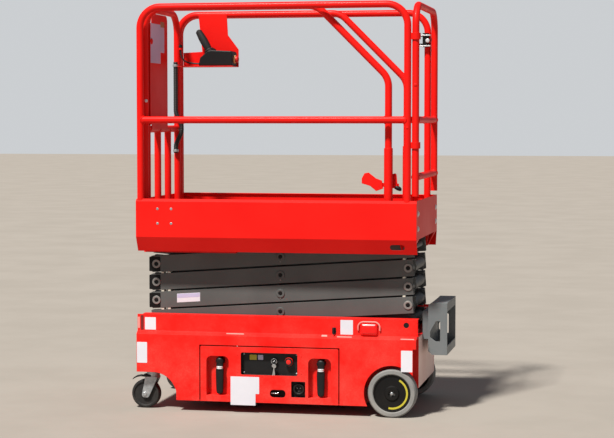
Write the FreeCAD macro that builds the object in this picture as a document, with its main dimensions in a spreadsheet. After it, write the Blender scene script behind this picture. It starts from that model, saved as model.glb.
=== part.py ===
import FreeCAD, Part
import math
import os
import Sketcher
from FreeCAD import Placement, Rotation, Vector

# Small self-propelled scissor lift, stored lowered.
# Millimetres. +X points to the end with the entry step, +Y to the far side, +Z up.
# The origin is on the ground under the middle of the whole machine.
# Near pieces lie at -Y, far pieces at +Y.

SIZES = {
    # whole machine
    "overall_width": 760.0,
    "base_past_arms": 115.0,
    "entry_end": 643.0,
    "axle_from_entry": 115.5,
    "sheet_wall": 5.0,
    "slide_gap": 5.0,
    "pin_fit": 0.05,
    "seat_gap": 0.3,
    # base
    "sill_height": 52.0,
    "side_top": 370.0,
    "ledge_rise": 15.0,
    "ledge_depth": 20.0,
    "band_top": 464.0,
    "base_floor_top": 379.0,
    "wheel_side_cut": 15.5,
    "wheel_side_top": 327.0,
    "entry_plate_low": 132.0,
    # drive wheels
    "drive_diameter": 230.0,
    "drive_wide": 80.0,
    "drive_inset": 3.0,
    "drive_arch_gap": 17.5,
    "hub_diameter": 178.0,
    "axle_bore": 17.0,
    "motor_radius": 55.0,
    "motor_length": 95.0,
    # casters
    "caster_diameter": 140.0,
    "caster_wide": 48.0,
    "caster_from_end": 62.0,
    "caster_trail": 35.0,
    "caster_side_inset": 78.0,
    "caster_roof": 185.0,
    "caster_arch": 120.0,
    "caster_arch_ahead": 20.0,
    "fork_wall": 5.0,
    "kingpin": 12.0,
    # drawers
    "drawer_from_entry": 370.0,
    "drawer_from_roller": 319.0,
    "drawer_height": 267.0,
    "drawer_depth": 285.0,
    "tray_wall": 4.0,
    "tray_side": 110.0,
    "runner_height": 10.0,
    "runner_wide": 40.0,
    "bay_end_gap": 30.0,
    "drawer_travel": 260.0,
    "latch_inset": 36.0,
    "latch_left_inset": 30.0,
    "latch_wide": 110.0,
    "latch_high": 190.0,
    "latch_low": 30.0,
    "latch_depth": 34.0,
    "latch_bend": 26.0,
    "lever_drop": 26.0,
    "lever_length": 159.0,
    "lever_knob": 20.0,
    "controls_place": 0.154,
    "controls_share": 0.712,
    "controls_high": 107.0,
    "controls_low": 133.0,
    "socket_share": 0.175,
    "socket_place": 0.788,
    "socket_low": 31.0,
    "socket_high": 76.0,
    "slot_share": 0.195,
    "slot_place": 0.521,
    "slot_low": 28.0,
    "slot_high": 37.0,
    "load_height": 150.0,
    "load_margin": 30.0,
    "pump_radius": 60.0,
    # lamps and the band
    "lamp_from_entry": 226.0,
    "lamp_wide": 84.0,
    "lamp_high": 57.0,
    "lamp_out": 18.0,
    "lamp_hoop_wide": 112.0,
    "lamp_hoop_bar": 8.0,
    "lamp_hoop_drop": 9.0,
    "band_hole_from_entry": 49.5,
    "band_hole_drop": 26.0,
    "band_hole_radius": 13.0,
    # scissor
    "arm_length": 1249.0,
    "level_rise": 89.0,
    "first_pin_height": 431.0,
    "pin_from_entry": 60.0,
    "arm_high": 80.0,
    "arm_wide": 38.0,
    "arm_wall": 4.0,
    "arm_tail": 24.0,
    "arm_side_inset": 150.0,
    "arm_gap": 6.0,
    "pin_radius": 15.0,
    "pin_head": 3.0,
    "boss_radius": 24.0,
    "cross_tube_radius": 29.0,
    "cross_tube_bore": 20.0,
    "track_offset": 10.0,
    "track_wide": 42.0,
    "track_wall": 5.0,
    "roller_radius": 22.0,
    "roller_wide": 28.0,
    "roller_gap": 0.4,
    "ear_wall": 12.0,
    # lift cylinder
    "ram_base_from_pin": 143.0,
    "ram_base_height": 170.0,
    "ram_eye_along_arm": 300.0,
    "ram_radius": 35.0,
    "ram_rod_radius": 20.0,
    "ram_tube_length": 235.0,
    "ram_eye_wide": 34.0,
    "ram_pin_radius": 12.0,
    "ram_drift": 6.5,
    # deck
    "deck_floor_top": 870.0,
    "deck_wall": 4.0,
    "skirt_top": 1024.0,
    "skirt_bead": 12.0,
    "lip_top": 840.0,
    "lip_drop": 70.0,
    "lip_depth": 35.0,
    "lip_slot_from_entry": 58.0,
    "lip_slot_wide": 70.0,
    # guardrails
    "rail_radius": 16.85,
    "rail_top": 1960.0,
    "mid_rail_height": 1403.0,
    "rail_bend": 100.0,
    "outer_post_from_end": 19.0,
    "outer_post_from_entry": 47.0,
    # extension
    "slide_plate": 6.0,
    "post_pad_height": 3.0,
    "post_pad_lip": 3.0,
    "slide_travel": 520.0,
    "cage_side_inset": 75.0,
    "cage_front": 27.0,
    "cage_rear": 145.0,
    "cage_slope_low": 1600.0,
    "cage_socket_top": 1270.0,
    "cage_socket_wall": 4.0,
    "front_mid_drop": 45.0,
    "toe_height": 140.0,
    "notice_wide": 271.0,
    "notice_drop": 40.0,
    "notice_wall": 4.0,
    "station_inset": 111.0,
    "conduit_radius": 12.0,
    "conduit_drop": 125.0,
    "conduit_share": 0.568,
    "conduit_bow": 75.0,
    "cord_radius": 4.0,
    "cord_gland": 8.0,
    "pedal_height": 1110.0,
    # gate
    "gate_from_entry": 11.0,
    "gate_side_inset": 35.0,
    "gate_low": 1045.0,
    "gate_bar_share": 0.2514,
    "hinge_drop": 182.0,
    "hinge_high": 30.0,
    "latch_drop": 190.0,
    "latch_tall": 70.0,
    # entry step
    "step_wide": 350.0,
    "step_low": 277.0,
    "step_high": 528.0,
    "step_start": 30.0,
    "step_border": 42.0,
    "step_reach": 121.5,
    "step_wall": 6.0,
}

doc = FreeCAD.newDocument("ScissorLift")
sheet = doc.addObject("Spreadsheet::Sheet", "dims")
for row, (alias, number) in enumerate(SIZES.items(), start=1):
    sheet.set(f"A{row}", alias)
    sheet.set(f"B{row}", str(number))
    sheet.setAlias(f"B{row}", alias)
doc.recompute()


class Size:
    """A number together with the sheet formula that gives it."""

    def __init__(self, value, text):
        self.value = value
        self.text = text

    def __add__(self, other):
        other = as_size(other)
        return Size(self.value + other.value, f"({self.text} + {other.text})")

    def __sub__(self, other):
        other = as_size(other)
        return Size(self.value - other.value, f"({self.text} - {other.text})")

    def __mul__(self, other):
        other = as_size(other)
        return Size(self.value * other.value, f"({self.text} * {other.text})")

    def __truediv__(self, other):
        other = as_size(other)
        return Size(self.value / other.value, f"({self.text} / {other.text})")

    def __neg__(self):
        return Size(-self.value, f"(-1 * {self.text})")

    def __radd__(self, other):
        return as_size(other) + self

    def __rsub__(self, other):
        return as_size(other) - self

    def __rmul__(self, other):
        return as_size(other) * self


def as_size(number):
    if isinstance(number, Size):
        return number
    return Size(float(number), repr(float(number)))


def root(number):
    return Size(math.sqrt(number.value), f"sqrt({number.text})")


def angle_of_sine(number):
    return Size(math.degrees(math.asin(number.value)), f"(asin({number.text}) / 1 deg)")


def angle_of_slope(rise, run):
    tangent = rise / run
    return Size(math.degrees(math.atan(tangent.value)), f"(atan({tangent.text}) / 1 deg)")


class Dims:
    pass


dim = Dims()
for alias, number in SIZES.items():
    setattr(dim, alias, Size(number, f"dims.{alias}"))


def bind(thing, prop, number):
    number = as_size(number)
    thing.setExpression(prop, number.text)


def place(thing, spot, axis=None, angle=None):
    """Put a primitive at a spot, turned by an angle about an axis."""
    spot = [as_size(part) for part in spot]
    turn = Rotation(Vector(*axis), as_size(angle).value) if axis else Rotation()
    thing.Placement = Placement(Vector(*[part.value for part in spot]), turn)
    for letter, part in zip("xyz", spot):
        bind(thing, f"Placement.Base.{letter}", part)
    if isinstance(angle, Size):
        bind(thing, "Placement.Rotation.Angle", angle)
    return thing


def box(name, xs, ys, zs):
    """A block between two places along each axis."""
    thing = doc.addObject("Part::Box", name)
    for prop, (low, high) in zip(("Length", "Width", "Height"), (xs, ys, zs)):
        bind(thing, prop, as_size(high) - low)
    return place(thing, (xs[0], ys[0], zs[0]))


def rod(name, axis, spot, radius, low, high):
    """A cylinder along an axis; the spot gives its centre in the other two directions."""
    thing = doc.addObject("Part::Cylinder", name)
    bind(thing, "Radius", radius)
    bind(thing, "Height", as_size(high) - low)
    if axis == "x":
        return place(thing, (low, spot[0], spot[1]), (0, 1, 0), 90)
    if axis == "y":
        return place(thing, (spot[0], low, spot[1]), (-1, 0, 0), 90)
    return place(thing, (spot[0], spot[1], low))


def fuse(name, pieces):
    if len(pieces) == 1:
        return pieces[0]
    thing = doc.addObject("Part::MultiFuse", name)
    thing.Shapes = pieces
    thing.Refine = True
    return thing


def cut(name, base, tools):
    thing = doc.addObject("Part::Cut", name)
    thing.Base = base
    thing.Tool = fuse(name + "_tools", tools)
    thing.Refine = True
    return thing


def together(name, pieces):
    """Several solids that don't touch, kept as one piece."""
    thing = doc.addObject("Part::Compound", name)
    thing.Links = pieces
    return thing


def mirrored(name, source):
    """The same piece on the other side of the machine."""
    thing = doc.addObject("Part::Mirroring", name)
    thing.Source = source
    thing.Normal = (0, 1, 0)
    return thing


def both_sides(name, source):
    return together(name, [source, mirrored(name + "_other", source)])


def fix(sketch, geometry, point, spot):
    for kind, value in zip(("DistanceX", "DistanceY"), spot):
        index = sketch.addConstraint(Sketcher.Constraint(kind, geometry, point, value.value))
        sketch.setExpression(f"Constraints[{index}]", value.text)


def draw_circle(sketch, centre, radius):
    centre = [as_size(part) for part in centre]
    radius = as_size(radius)
    middle = Vector(centre[0].value, centre[1].value, 0)
    circle = sketch.addGeometry(Part.Circle(middle, Vector(0, 0, 1), radius.value))
    fix(sketch, circle, 3, centre)
    index = sketch.addConstraint(Sketcher.Constraint("Radius", circle, radius.value))
    sketch.setExpression(f"Constraints[{index}]", radius.text)


def draw_outline(sketch, corners, closed=True):
    """Straight runs between corners (x, y) or (x, y, bend radius), each fixed from the origin."""
    corners = [[as_size(part) for part in corner] for corner in corners]
    count = len(corners)
    spots = [Vector(c[0].value, c[1].value, 0) for c in corners]

    def setback(index):
        if len(corners[index]) == 2:
            return 0.0
        back = (spots[index - 1] - spots[index]).normalize()
        ahead = (spots[(index + 1) % count] - spots[index]).normalize()
        half = back.getAngle(ahead) / 2
        return corners[index][2].value / math.tan(half)

    runs = count if closed else count - 1
    lines = []
    for index in range(runs):
        after = (index + 1) % count
        along = (spots[after] - spots[index]).normalize()
        start = spots[index] + along * setback(index)
        end = spots[after] - along * setback(after)
        lines.append(sketch.addGeometry(Part.LineSegment(start, end)))
    if not closed:
        fix(sketch, lines[0], 1, corners[0])
        fix(sketch, lines[-1], 2, corners[-1])
    for index in range(0 if closed else 1, count if closed else count - 1):
        before, after = lines[index - 1], lines[index % runs]
        if len(corners[index]) == 2:
            sketch.addConstraint(Sketcher.Constraint("Coincident", before, 2, after, 1))
            fix(sketch, after, 1, corners[index])
            continue
        radius = corners[index][2]
        into = (spots[index] - spots[index - 1]).normalize()
        out = (spots[(index + 1) % count] - spots[index]).normalize()
        left = into.cross(out).z > 0
        side = Vector(-into.y, into.x, 0) * (radius.value if left else -radius.value)
        touch_in = spots[index] - into * setback(index)
        touch_out = spots[index] + out * setback(index)
        centre = touch_in + side
        first, last = (touch_in, touch_out) if left else (touch_out, touch_in)
        begin = math.atan2(first.y - centre.y, first.x - centre.x)
        finish = math.atan2(last.y - centre.y, last.x - centre.x)
        if finish < begin:
            finish += 2 * math.pi
        circle = Part.Circle(centre, Vector(0, 0, 1), radius.value)
        arc = sketch.addGeometry(Part.ArcOfCircle(circle, begin, finish))
        mark = sketch.addGeometry(Part.Point(spots[index]), True)
        near_end, far_end = (1, 2) if left else (2, 1)
        sketch.addConstraint(Sketcher.Constraint("Tangent", before, 2, arc, near_end))
        sketch.addConstraint(Sketcher.Constraint("Tangent", arc, far_end, after, 1))
        sketch.addConstraint(Sketcher.Constraint("PointOnObject", mark, 1, before))
        sketch.addConstraint(Sketcher.Constraint("PointOnObject", mark, 1, after))
        fix(sketch, mark, 1, corners[index])
        turn = sketch.addConstraint(Sketcher.Constraint("Radius", arc, radius.value))
        sketch.setExpression(f"Constraints[{turn}]", radius.text)


# Each plane's sketch axes: XY gives X and Y, XZ gives X and Z, YZ gives Y and Z.
FACING = {"XY": 1, "XZ": -1, "YZ": 1}


def new_sketch(body, name, plane, offset):
    sketch = body.newObject("Sketcher::SketchObject", name)
    origin = [item for item in body.Origin.OriginFeatures if item.Role == f"{plane}_Plane"][0]
    sketch.AttachmentSupport = [(origin, "")]
    sketch.MapMode = "FlatFace"
    bind(sketch, "AttachmentOffset.Base.z", as_size(offset) * FACING[plane])
    return sketch


def pad(name, plane, outline, low, high, holes=(), rounds=()):
    """A plate or bar: an outline with holes, thick from low to high across its plane."""
    body = doc.addObject("PartDesign::Body", name)
    start = low if FACING[plane] > 0 else high
    sketch = new_sketch(body, name + "_sketch", plane, start)
    draw_outline(sketch, outline)
    for hole in holes:
        draw_outline(sketch, hole)
    for centre, radius in rounds:
        draw_circle(sketch, centre, radius)
    feature = body.newObject("PartDesign::Pad", name + "_pad")
    feature.Profile = sketch
    bind(feature, "Length", as_size(high) - low)
    sketch.Visibility = False
    return body


def lathe(name, outline):
    """A turned piece about the Y axis: corners are (radius, place along Y)."""
    body = doc.addObject("PartDesign::Body", name)
    sketch = new_sketch(body, name + "_sketch", "XY", 0)
    draw_outline(sketch, outline)
    feature = body.newObject("PartDesign::Revolution", name + "_turn")
    feature.Profile = sketch
    feature.ReferenceAxis = (sketch, ["V_Axis"])
    feature.Angle = 360
    return body


def bent_tube(name, plane, offset, route, radius):
    """A round tube along a route that starts by rising straight up."""
    body = doc.addObject("PartDesign::Body", name)
    path = new_sketch(body, name + "_route", plane, offset)
    draw_outline(path, route, closed=False)
    ring = new_sketch(body, name + "_ring", "XY", route[0][1])
    if plane == "XZ":
        draw_circle(ring, (route[0][0], offset), radius)
    else:
        draw_circle(ring, (offset, route[0][0]), radius)
    doc.recompute()
    pipe = body.newObject("PartDesign::AdditivePipe", name + "_pipe")
    pipe.Profile = ring
    count = len(path.Shape.Edges)
    pipe.Spine = (path, [f"Edge{number + 1}" for number in range(count)])
    return body


nodes = {}


def keep(label, thing):
    """Name a finished piece and list it for writing."""
    thing.Label = label
    nodes[label] = thing
    return thing


# Places that many pieces share
half_width = dim.overall_width / 2
base_length = dim.arm_length + dim.base_past_arms
roller_end = dim.entry_end - base_length
axle_x = dim.entry_end - dim.axle_from_entry
axle_z = dim.drive_diameter / 2
band_half = half_width - dim.ledge_depth
band_low = dim.side_top + dim.ledge_rise
drive_outer = half_width - dim.drive_inset
well_half = drive_outer - dim.drive_wide - 2 * dim.slide_gap
arch_radius = axle_z + dim.drive_arch_gap
shell_inside = half_width - dim.sheet_wall
fold_height = dim.side_top - dim.sheet_wall / 2
floor_low = dim.base_floor_top - dim.sheet_wall
fold_lean = dim.ledge_depth / dim.ledge_rise
floor_half = shell_inside - (dim.base_floor_top - fold_height) * fold_lean
drawer_right = dim.entry_end - dim.drawer_from_entry
drawer_left = roller_end + dim.drawer_from_roller
drawer_length = drawer_right - drawer_left
arch_end = roller_end + dim.caster_from_end + dim.caster_arch_ahead
belly_start = arch_end + dim.caster_arch - dim.sheet_wall
belly_end = axle_x - arch_radius

fixed_pin_x = dim.entry_end - dim.pin_from_entry
sine = dim.level_rise / dim.arm_length
arm_run = root(dim.arm_length * dim.arm_length - dim.level_rise * dim.level_rise)
stowed_angle = angle_of_sine(sine)
roller_x = fixed_pin_x - arm_run
LEVELS = 4
arm_outer_face = half_width - dim.arm_side_inset
outer_in = arm_outer_face - dim.arm_wide
inner_out = outer_in - dim.arm_gap
inner_in = inner_out - dim.arm_wide
head_face = arm_outer_face + dim.pin_head
track_in = arm_outer_face + dim.track_offset
track_out = track_in + dim.track_wide
top_pin_height = dim.first_pin_height + LEVELS * dim.level_rise


def side_plates():
    """Each side's plate, folded into a ledge and a band, with its wheel arches and drawer opening."""
    wall = dim.sheet_wall
    side = pad("side_fold", "YZ", [
        (half_width, dim.sill_height),
        (half_width, dim.side_top),
        (band_half, band_low),
        (band_half, dim.band_top),
        (band_half - wall, dim.band_top),
        (band_half - wall, band_low - wall / 2),
        (shell_inside, fold_height),
        (shell_inside, dim.sill_height),
    ], roller_end, dim.entry_end)
    far = half_width + 1
    near = half_width - 3 * wall
    wheel_side_end = dim.entry_end - dim.wheel_side_cut
    caster_low = dim.caster_roof - dim.caster_arch
    tools = [
        rod("drive_arch", "y", (axle_x, axle_z), arch_radius, near, far),
        box("drive_arch_open", (axle_x, dim.entry_end + 1), (near, far), (0, axle_z + 87)),
        box("side_end_trim", (wheel_side_end, dim.entry_end + 1), (near, far), (0, dim.wheel_side_top)),
        rod("caster_arch_cut", "y", (arch_end, caster_low), dim.caster_arch, near, far),
        box("caster_open", (roller_end - 1, arch_end), (near, far), (0, dim.caster_roof)),
        box("drawer_opening",
            (drawer_left - dim.slide_gap, drawer_right + dim.slide_gap),
            (near, far), (0, dim.sill_height + dim.drawer_height + dim.slide_gap)),
    ]
    hole_spot = (dim.entry_end - dim.band_hole_from_entry, dim.band_top - dim.band_hole_drop)
    tools.append(rod("band_hole", "y", hole_spot, dim.band_hole_radius, band_half - 2 * wall, far))
    far_side = cut("far_side", side, tools)
    keep("side_plate_far", far_side)
    keep("side_plate_near", mirrored("near_side", far_side))


def base_floor():
    """The plate under the scissors, with the slot that the lift cylinder swings in."""
    keep("base_floor", pad("base_floor_plate", "XY", [
        (roller_end, -floor_half), (dim.entry_end, -floor_half),
        (dim.entry_end, floor_half), (roller_end, floor_half),
    ], floor_low, dim.base_floor_top, holes=[ram_slot()]))


def belly_plate():
    """The flat bottom between the wheels, its rise to the keel, and the drawers' runners."""
    wall = dim.sheet_wall
    top = dim.sill_height + wall
    keel_half = well_half - dim.motor_length - 2 * dim.slide_gap
    pieces = [
        box("belly", (belly_start + wall, belly_end), (-shell_inside, shell_inside), (dim.sill_height, top)),
        box("belly_step", (belly_end - wall, belly_end), (-shell_inside, shell_inside),
            (dim.sill_height, dim.entry_plate_low + wall)),
        box("belly_keel", (belly_end - wall, dim.entry_end - wall), (-keel_half, keel_half),
            (dim.entry_plate_low, dim.entry_plate_low + wall)),
    ]
    for n, x in enumerate((drawer_left + 12, drawer_right - dim.runner_wide - 12)):
        strip = box(f"runner_{n}", (x, x + dim.runner_wide),
                    (shell_inside - dim.drawer_depth, shell_inside - 6), (top, top + dim.runner_height))
        pieces += [strip, mirrored(f"runner_near_{n}", strip)]
    keep("belly_plate", fuse("belly_solid", pieces))


def cross_wall(name, place_x, low, near, far):
    """A plate across the machine whose top corners follow the side plates' fold."""
    inward = (floor_low - fold_height) * fold_lean
    outline = [(near, low), (far, low), (far, fold_height), (far - inward, floor_low)]
    if near.value < 0:
        outline += [(near + inward, floor_low), (near, fold_height)]
    else:
        outline += [(near, floor_low)]
    return pad(name, "YZ", outline, place_x, place_x + dim.sheet_wall)


def caster_bay():
    """The roof over the casters, the wall that curves down behind them, and both end walls of it."""
    wall = dim.sheet_wall
    roof_top = dim.caster_roof + wall
    roof = box("caster_roof_plate", (roller_end, arch_end), (-shell_inside, shell_inside),
               (dim.caster_roof, roof_top))
    arch = pad("caster_wall", "XZ", [
        (belly_start, dim.sill_height), (belly_start + wall, dim.sill_height),
        (belly_start + wall, roof_top, dim.caster_arch * 0.9),
        (arch_end - 10, roof_top), (arch_end - 10, dim.caster_roof),
        (belly_start, dim.caster_roof, dim.caster_arch * 0.86),
    ], -shell_inside, shell_inside)
    end = cross_wall("roller_end_plate", roller_end, roof_top, -shell_inside, shell_inside)
    keep("caster_bay", fuse("caster_bay_solid", [roof, arch, end]))
    bay_end = cross_wall("bay_end_plate", drawer_left - dim.bay_end_gap, dim.sill_height + wall,
                         -shell_inside, shell_inside)
    keep("bay_end", bay_end)


def wheel_wells():
    """The plates that box in the drive wheels, with a tab that carries each motor, and the end plate."""
    wall = dim.sheet_wall
    tab_low = axle_z - dim.motor_radius
    back = cross_wall("well_back", belly_end - wall, dim.entry_plate_low + wall, ram_way(), shell_inside)
    side = pad("well_wall", "XZ", [
        (belly_end, dim.entry_plate_low), (axle_x - dim.motor_radius, dim.entry_plate_low),
        (axle_x - dim.motor_radius, tab_low, 30), (axle_x + dim.motor_radius, tab_low, 30),
        (axle_x + dim.motor_radius, dim.entry_plate_low), (dim.entry_end, dim.entry_plate_low),
        (dim.entry_end, floor_low), (belly_end, floor_low),
    ], well_half, well_half + wall, rounds=[((axle_x, axle_z), dim.axle_bore + dim.seat_gap)])
    keep("wheel_wells", both_sides("wheel_wells_pair", together("wheel_well", [back, side])))
    keep("entry_end_plate", box("entry_plate", (dim.entry_end - wall, dim.entry_end), (-well_half, well_half),
                                (dim.entry_plate_low, floor_low)))


def ram_way():
    """Half the width that the base keeps open for the lift cylinder."""
    return dim.ram_radius + 20


def ram_slot():
    """The slot in the base floor that the lift cylinder swings in."""
    low = fixed_pin_x - dim.ram_base_from_pin - 190
    high = fixed_pin_x - dim.ram_base_from_pin + 40
    half = ram_way()
    return [(low, -half), (high, -half), (high, half), (low, half)]


def channel(name, low_x, high_x, pin_height):
    """A C channel, open towards the arms, that a roller runs in; the far one, then both."""
    wall = dim.track_wall
    low = pin_height - dim.roller_radius - dim.roller_gap
    high = pin_height + dim.roller_radius + dim.roller_gap
    profile = pad(name + "_far", "YZ", [
        (track_in, low - wall), (track_out, low - wall), (track_out, high + wall), (track_in, high + wall),
        (track_in, high), (track_out - wall, high), (track_out - wall, low), (track_in, low),
    ], low_x, high_x)
    return profile


def base_tracks():
    channel_far = channel("base_track", roller_end + dim.sheet_wall, dim.entry_end - dim.sheet_wall,
                          dim.first_pin_height)
    foot_top = dim.first_pin_height - dim.roller_radius - dim.roller_gap - dim.track_wall
    foot = box("base_track_foot", (roller_end + dim.sheet_wall, dim.entry_end - dim.sheet_wall),
               (track_out - 12, track_out), (dim.base_floor_top, foot_top))
    return keep("base_tracks", both_sides("base_tracks_pair", fuse("base_track_solid", [channel_far, foot])))


def base_pin():
    """The fixed lower pivot: two ears on the base floor and the shaft through them."""
    ear_low = outer_in + 6
    ear = pad("base_ear", "XZ", [
        (fixed_pin_x - 40, dim.base_floor_top), (fixed_pin_x + 40, dim.base_floor_top),
        (fixed_pin_x + 26, dim.first_pin_height + 24, 20), (fixed_pin_x - 26, dim.first_pin_height + 24, 20),
    ], ear_low, ear_low + dim.ear_wall)
    other = mirrored("base_ear_other", ear)
    shaft = rod("base_shaft", "y", (fixed_pin_x, dim.first_pin_height), dim.pin_radius,
                -(ear_low + dim.ear_wall + 4), ear_low + dim.ear_wall + 4)
    return keep("base_pivot", fuse("base_pivot_solid", [ear, other, shaft]))


def arm(name, centre_y, bored):
    """A rectangular tube from pin to pin with a boss at each end and in the middle."""
    low, high = centre_y - dim.arm_wide / 2, centre_y + dim.arm_wide / 2
    wall = dim.arm_wall
    tall = dim.arm_high / 2
    tail = dim.arm_tail
    skin = box(name + "_skin", (-tail, dim.arm_length + tail), (low, high), (-tall, tall))
    hollow = box(name + "_hollow", (-tail - 1, dim.arm_length + tail + 1),
                 (low + wall, high - wall), (wall - tall, tall - wall))
    tube = cut(name + "_tube", skin, [hollow])
    bosses = [rod(f"{name}_boss_{n}", "y", (along, 0), dim.boss_radius, low, high)
              for n, along in enumerate((0, dim.arm_length / 2, dim.arm_length))]
    solid = fuse(name + "_bossed", [tube] + bosses)
    bores = [rod(f"{name}_bore_{n}", "y", (along, 0), dim.pin_radius + dim.pin_fit, low - 1, high + 1)
             for n, along in enumerate((0, dim.arm_length / 2, dim.arm_length)) if bored[n]]
    if bores:
        solid = cut(name + "_bored", solid, bores)
    return solid


def shaft_with_heads(name, along, reach):
    shaft = rod(name, "y", (along, 0), dim.pin_radius, -reach, reach)
    head = rod(name + "_head", "y", (along, 0), dim.pin_radius + 6, reach - dim.pin_head, reach)
    return [shaft, head, mirrored(name + "_head_other", head)]


def outer_frame(level):
    """Two outer arms joined by a shaft at each end, with a stub pin in the middle of each."""
    name = f"outer_arms_{level}"
    centre = arm_outer_face - dim.arm_wide / 2
    far = arm(name + "_far", centre, (False, False, False))
    near = mirrored(name + "_near", far)
    low_reach = arm_outer_face + dim.track_offset + dim.roller_wide + 8 if level == 1 else head_face
    high_reach = arm_outer_face + 2 * dim.ear_wall if level == LEVELS else head_face
    pieces = [far, near]
    pieces += shaft_with_heads(name + "_low", 0, low_reach)
    pieces += shaft_with_heads(name + "_high", dim.arm_length, high_reach)
    stub = rod(name + "_stub", "y", (dim.arm_length / 2, 0), dim.pin_radius, inner_in - 4, head_face)
    cap = rod(name + "_stub_cap", "y", (dim.arm_length / 2, 0), dim.pin_radius + 6,
              arm_outer_face, head_face)
    pieces += [stub, cap, mirrored(name + "_stub_other", stub), mirrored(name + "_cap_other", cap)]
    solid = fuse(name + "_solid", pieces)
    placed = together(name, [solid])
    place(placed, (roller_x, 0, dim.first_pin_height + (level - 1) * dim.level_rise),
          (0, -1, 0), stowed_angle)
    return keep(name, placed)


def inner_frame(level):
    """Two inner arms joined by cross tubes that the outer arms' shafts turn in."""
    name = f"inner_arms_{level}"
    centre = inner_out - dim.arm_wide / 2
    top = level == LEVELS
    far = arm(name + "_far", centre, (not top, True, True))
    near = mirrored(name + "_near", far)
    pieces = [far, near]
    for word, along in (("high", 0), ("low", dim.arm_length)):
        tube = rod(f"{name}_{word}_tube", "y", (along, 0), dim.cross_tube_radius, -inner_in, inner_in)
        if word == "low" or not top:
            bore = rod(f"{name}_{word}_bore", "y", (along, 0), dim.cross_tube_bore,
                       -inner_in - 1, inner_in + 1)
            tube = cut(f"{name}_{word}_sleeve", tube, [bore])
        pieces.append(tube)
    if top:
        reach = track_in + dim.roller_wide + 4
        pieces.append(rod(name + "_axle", "y", (0, 0), dim.pin_radius, -reach, reach))
    if level == 1:
        pieces.append(ram_socket(name))
    solid = fuse(name + "_solid", pieces)
    placed = together(name, [solid])
    place(placed, (roller_x, 0, dim.first_pin_height + level * dim.level_rise), (0, 1, 0), stowed_angle)
    return keep(name, placed)


def ram_socket(name):
    """The cross tube, open in the middle, whose bore holds the rod eye's pin with room to spare."""
    along = dim.arm_length - dim.ram_eye_along_arm
    gap = dim.ram_eye_wide / 2 + 4
    tube = rod(name + "_socket", "y", (along, 0), dim.cross_tube_radius, gap, inner_in)
    bore = rod(name + "_socket_bore", "y", (along, 0), dim.ram_pin_radius + dim.ram_drift, gap - 1, gap + 45)
    half = cut(name + "_socket_half", tube, [bore])
    return both_sides(name + "_sockets", half)


def rollers(label, height):
    low = track_in + 2
    roller = rod(label + "_far", "y", (roller_x, height), dim.roller_radius, low, low + dim.roller_wide)
    bore = rod(label + "_bore", "y", (roller_x, height), dim.pin_radius + dim.pin_fit,
               low - 1, low + dim.roller_wide + 1)
    return keep(label, both_sides(label + "_pair", cut(label + "_ring", roller, [bore])))


def lift_cylinder():
    """Tube hinged low in the base, rod up to the first inner arms, at their stored angle."""
    base_x = fixed_pin_x - dim.ram_base_from_pin
    base_z = dim.ram_base_height
    eye_x = fixed_pin_x - dim.ram_eye_along_arm * arm_run / dim.arm_length
    eye_z = dim.first_pin_height + dim.ram_eye_along_arm * sine
    run = base_x - eye_x
    climb = eye_z - base_z
    length = root(run * run + climb * climb)
    lean = angle_of_slope(run, climb)
    half_eye = dim.ram_eye_wide / 2
    eye_radius = dim.ram_pin_radius + 14
    knuckle = rod("ram_knuckle", "y", (0, 0), eye_radius, -half_eye, half_eye)
    neck = rod("ram_neck", "z", (0, 0), 15, 0, 40)
    barrel = rod("ram_barrel", "z", (0, 0), dim.ram_radius, 36, dim.ram_tube_length)
    inside = rod("ram_inside", "z", (0, 0), dim.ram_rod_radius + dim.pin_fit, 60, dim.ram_tube_length + 1)
    hole = rod("ram_base_hole", "y", (0, 0), dim.ram_pin_radius + dim.pin_fit, -half_eye - 1, half_eye + 1)
    tube = cut("ram_tube_solid", fuse("ram_tube_outer", [knuckle, neck, barrel]), [inside, hole])
    tube = place(together("ram_tube_placed", [tube]), (base_x, 0, base_z), (0, -1, 0), lean)
    keep("ram_tube", tube)
    rod_body = rod("ram_rod_bar", "z", (0, 0), dim.ram_rod_radius, 75, length - 10)
    eye = rod("ram_eye", "y", (0, length), eye_radius, -half_eye, half_eye)
    pin = rod("ram_eye_pin", "y", (0, length), dim.ram_pin_radius, -(half_eye + 40), half_eye + 40)
    rod_all = fuse("ram_rod_solid", [rod_body, eye, pin])
    rod_all = place(together("ram_rod_placed", [rod_all]), (base_x, 0, base_z), (0, -1, 0), lean)
    keep("ram_rod", rod_all)
    lug_low = half_eye + 2
    keel_top = dim.entry_plate_low + dim.sheet_wall
    lug = pad("ram_lug", "XZ", [
        (base_x - 40, keel_top), (base_x + 60, keel_top),
        (base_x + 26, base_z + 18, 16), (base_x - 26, base_z + 18, 16),
    ], lug_low, lug_low + dim.ear_wall)
    other = mirrored("ram_lug_other", lug)
    pin = rod("ram_base_pin", "y", (base_x, base_z), dim.ram_pin_radius,
              -(lug_low + dim.ear_wall + 4), lug_low + dim.ear_wall + 4)
    keep("ram_mount", fuse("ram_mount_solid", [lug, other, pin]))


def drive_motors():
    """Wheel motors on the well walls, each with the stub axle that its wheel turns on."""
    face = well_half + dim.sheet_wall
    housing = rod("motor_housing", "y", (axle_x, axle_z), dim.motor_radius,
                  well_half - dim.motor_length, well_half)
    flange = rod("motor_flange", "y", (axle_x, axle_z), dim.motor_radius - 15, face, face + 4)
    axle = rod("stub_axle", "y", (axle_x, axle_z), dim.axle_bore - dim.pin_fit,
               well_half - 10, drive_outer - 14)
    bracket = box("motor_bracket", (axle_x - 45, axle_x + 45),
                  (well_half - 8, well_half), (axle_z, axle_z + dim.motor_radius + 20))
    return keep("drive_motors", both_sides("drive_motor_pair",
                                           fuse("drive_motor_solid", [housing, flange, axle, bracket])))


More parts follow.
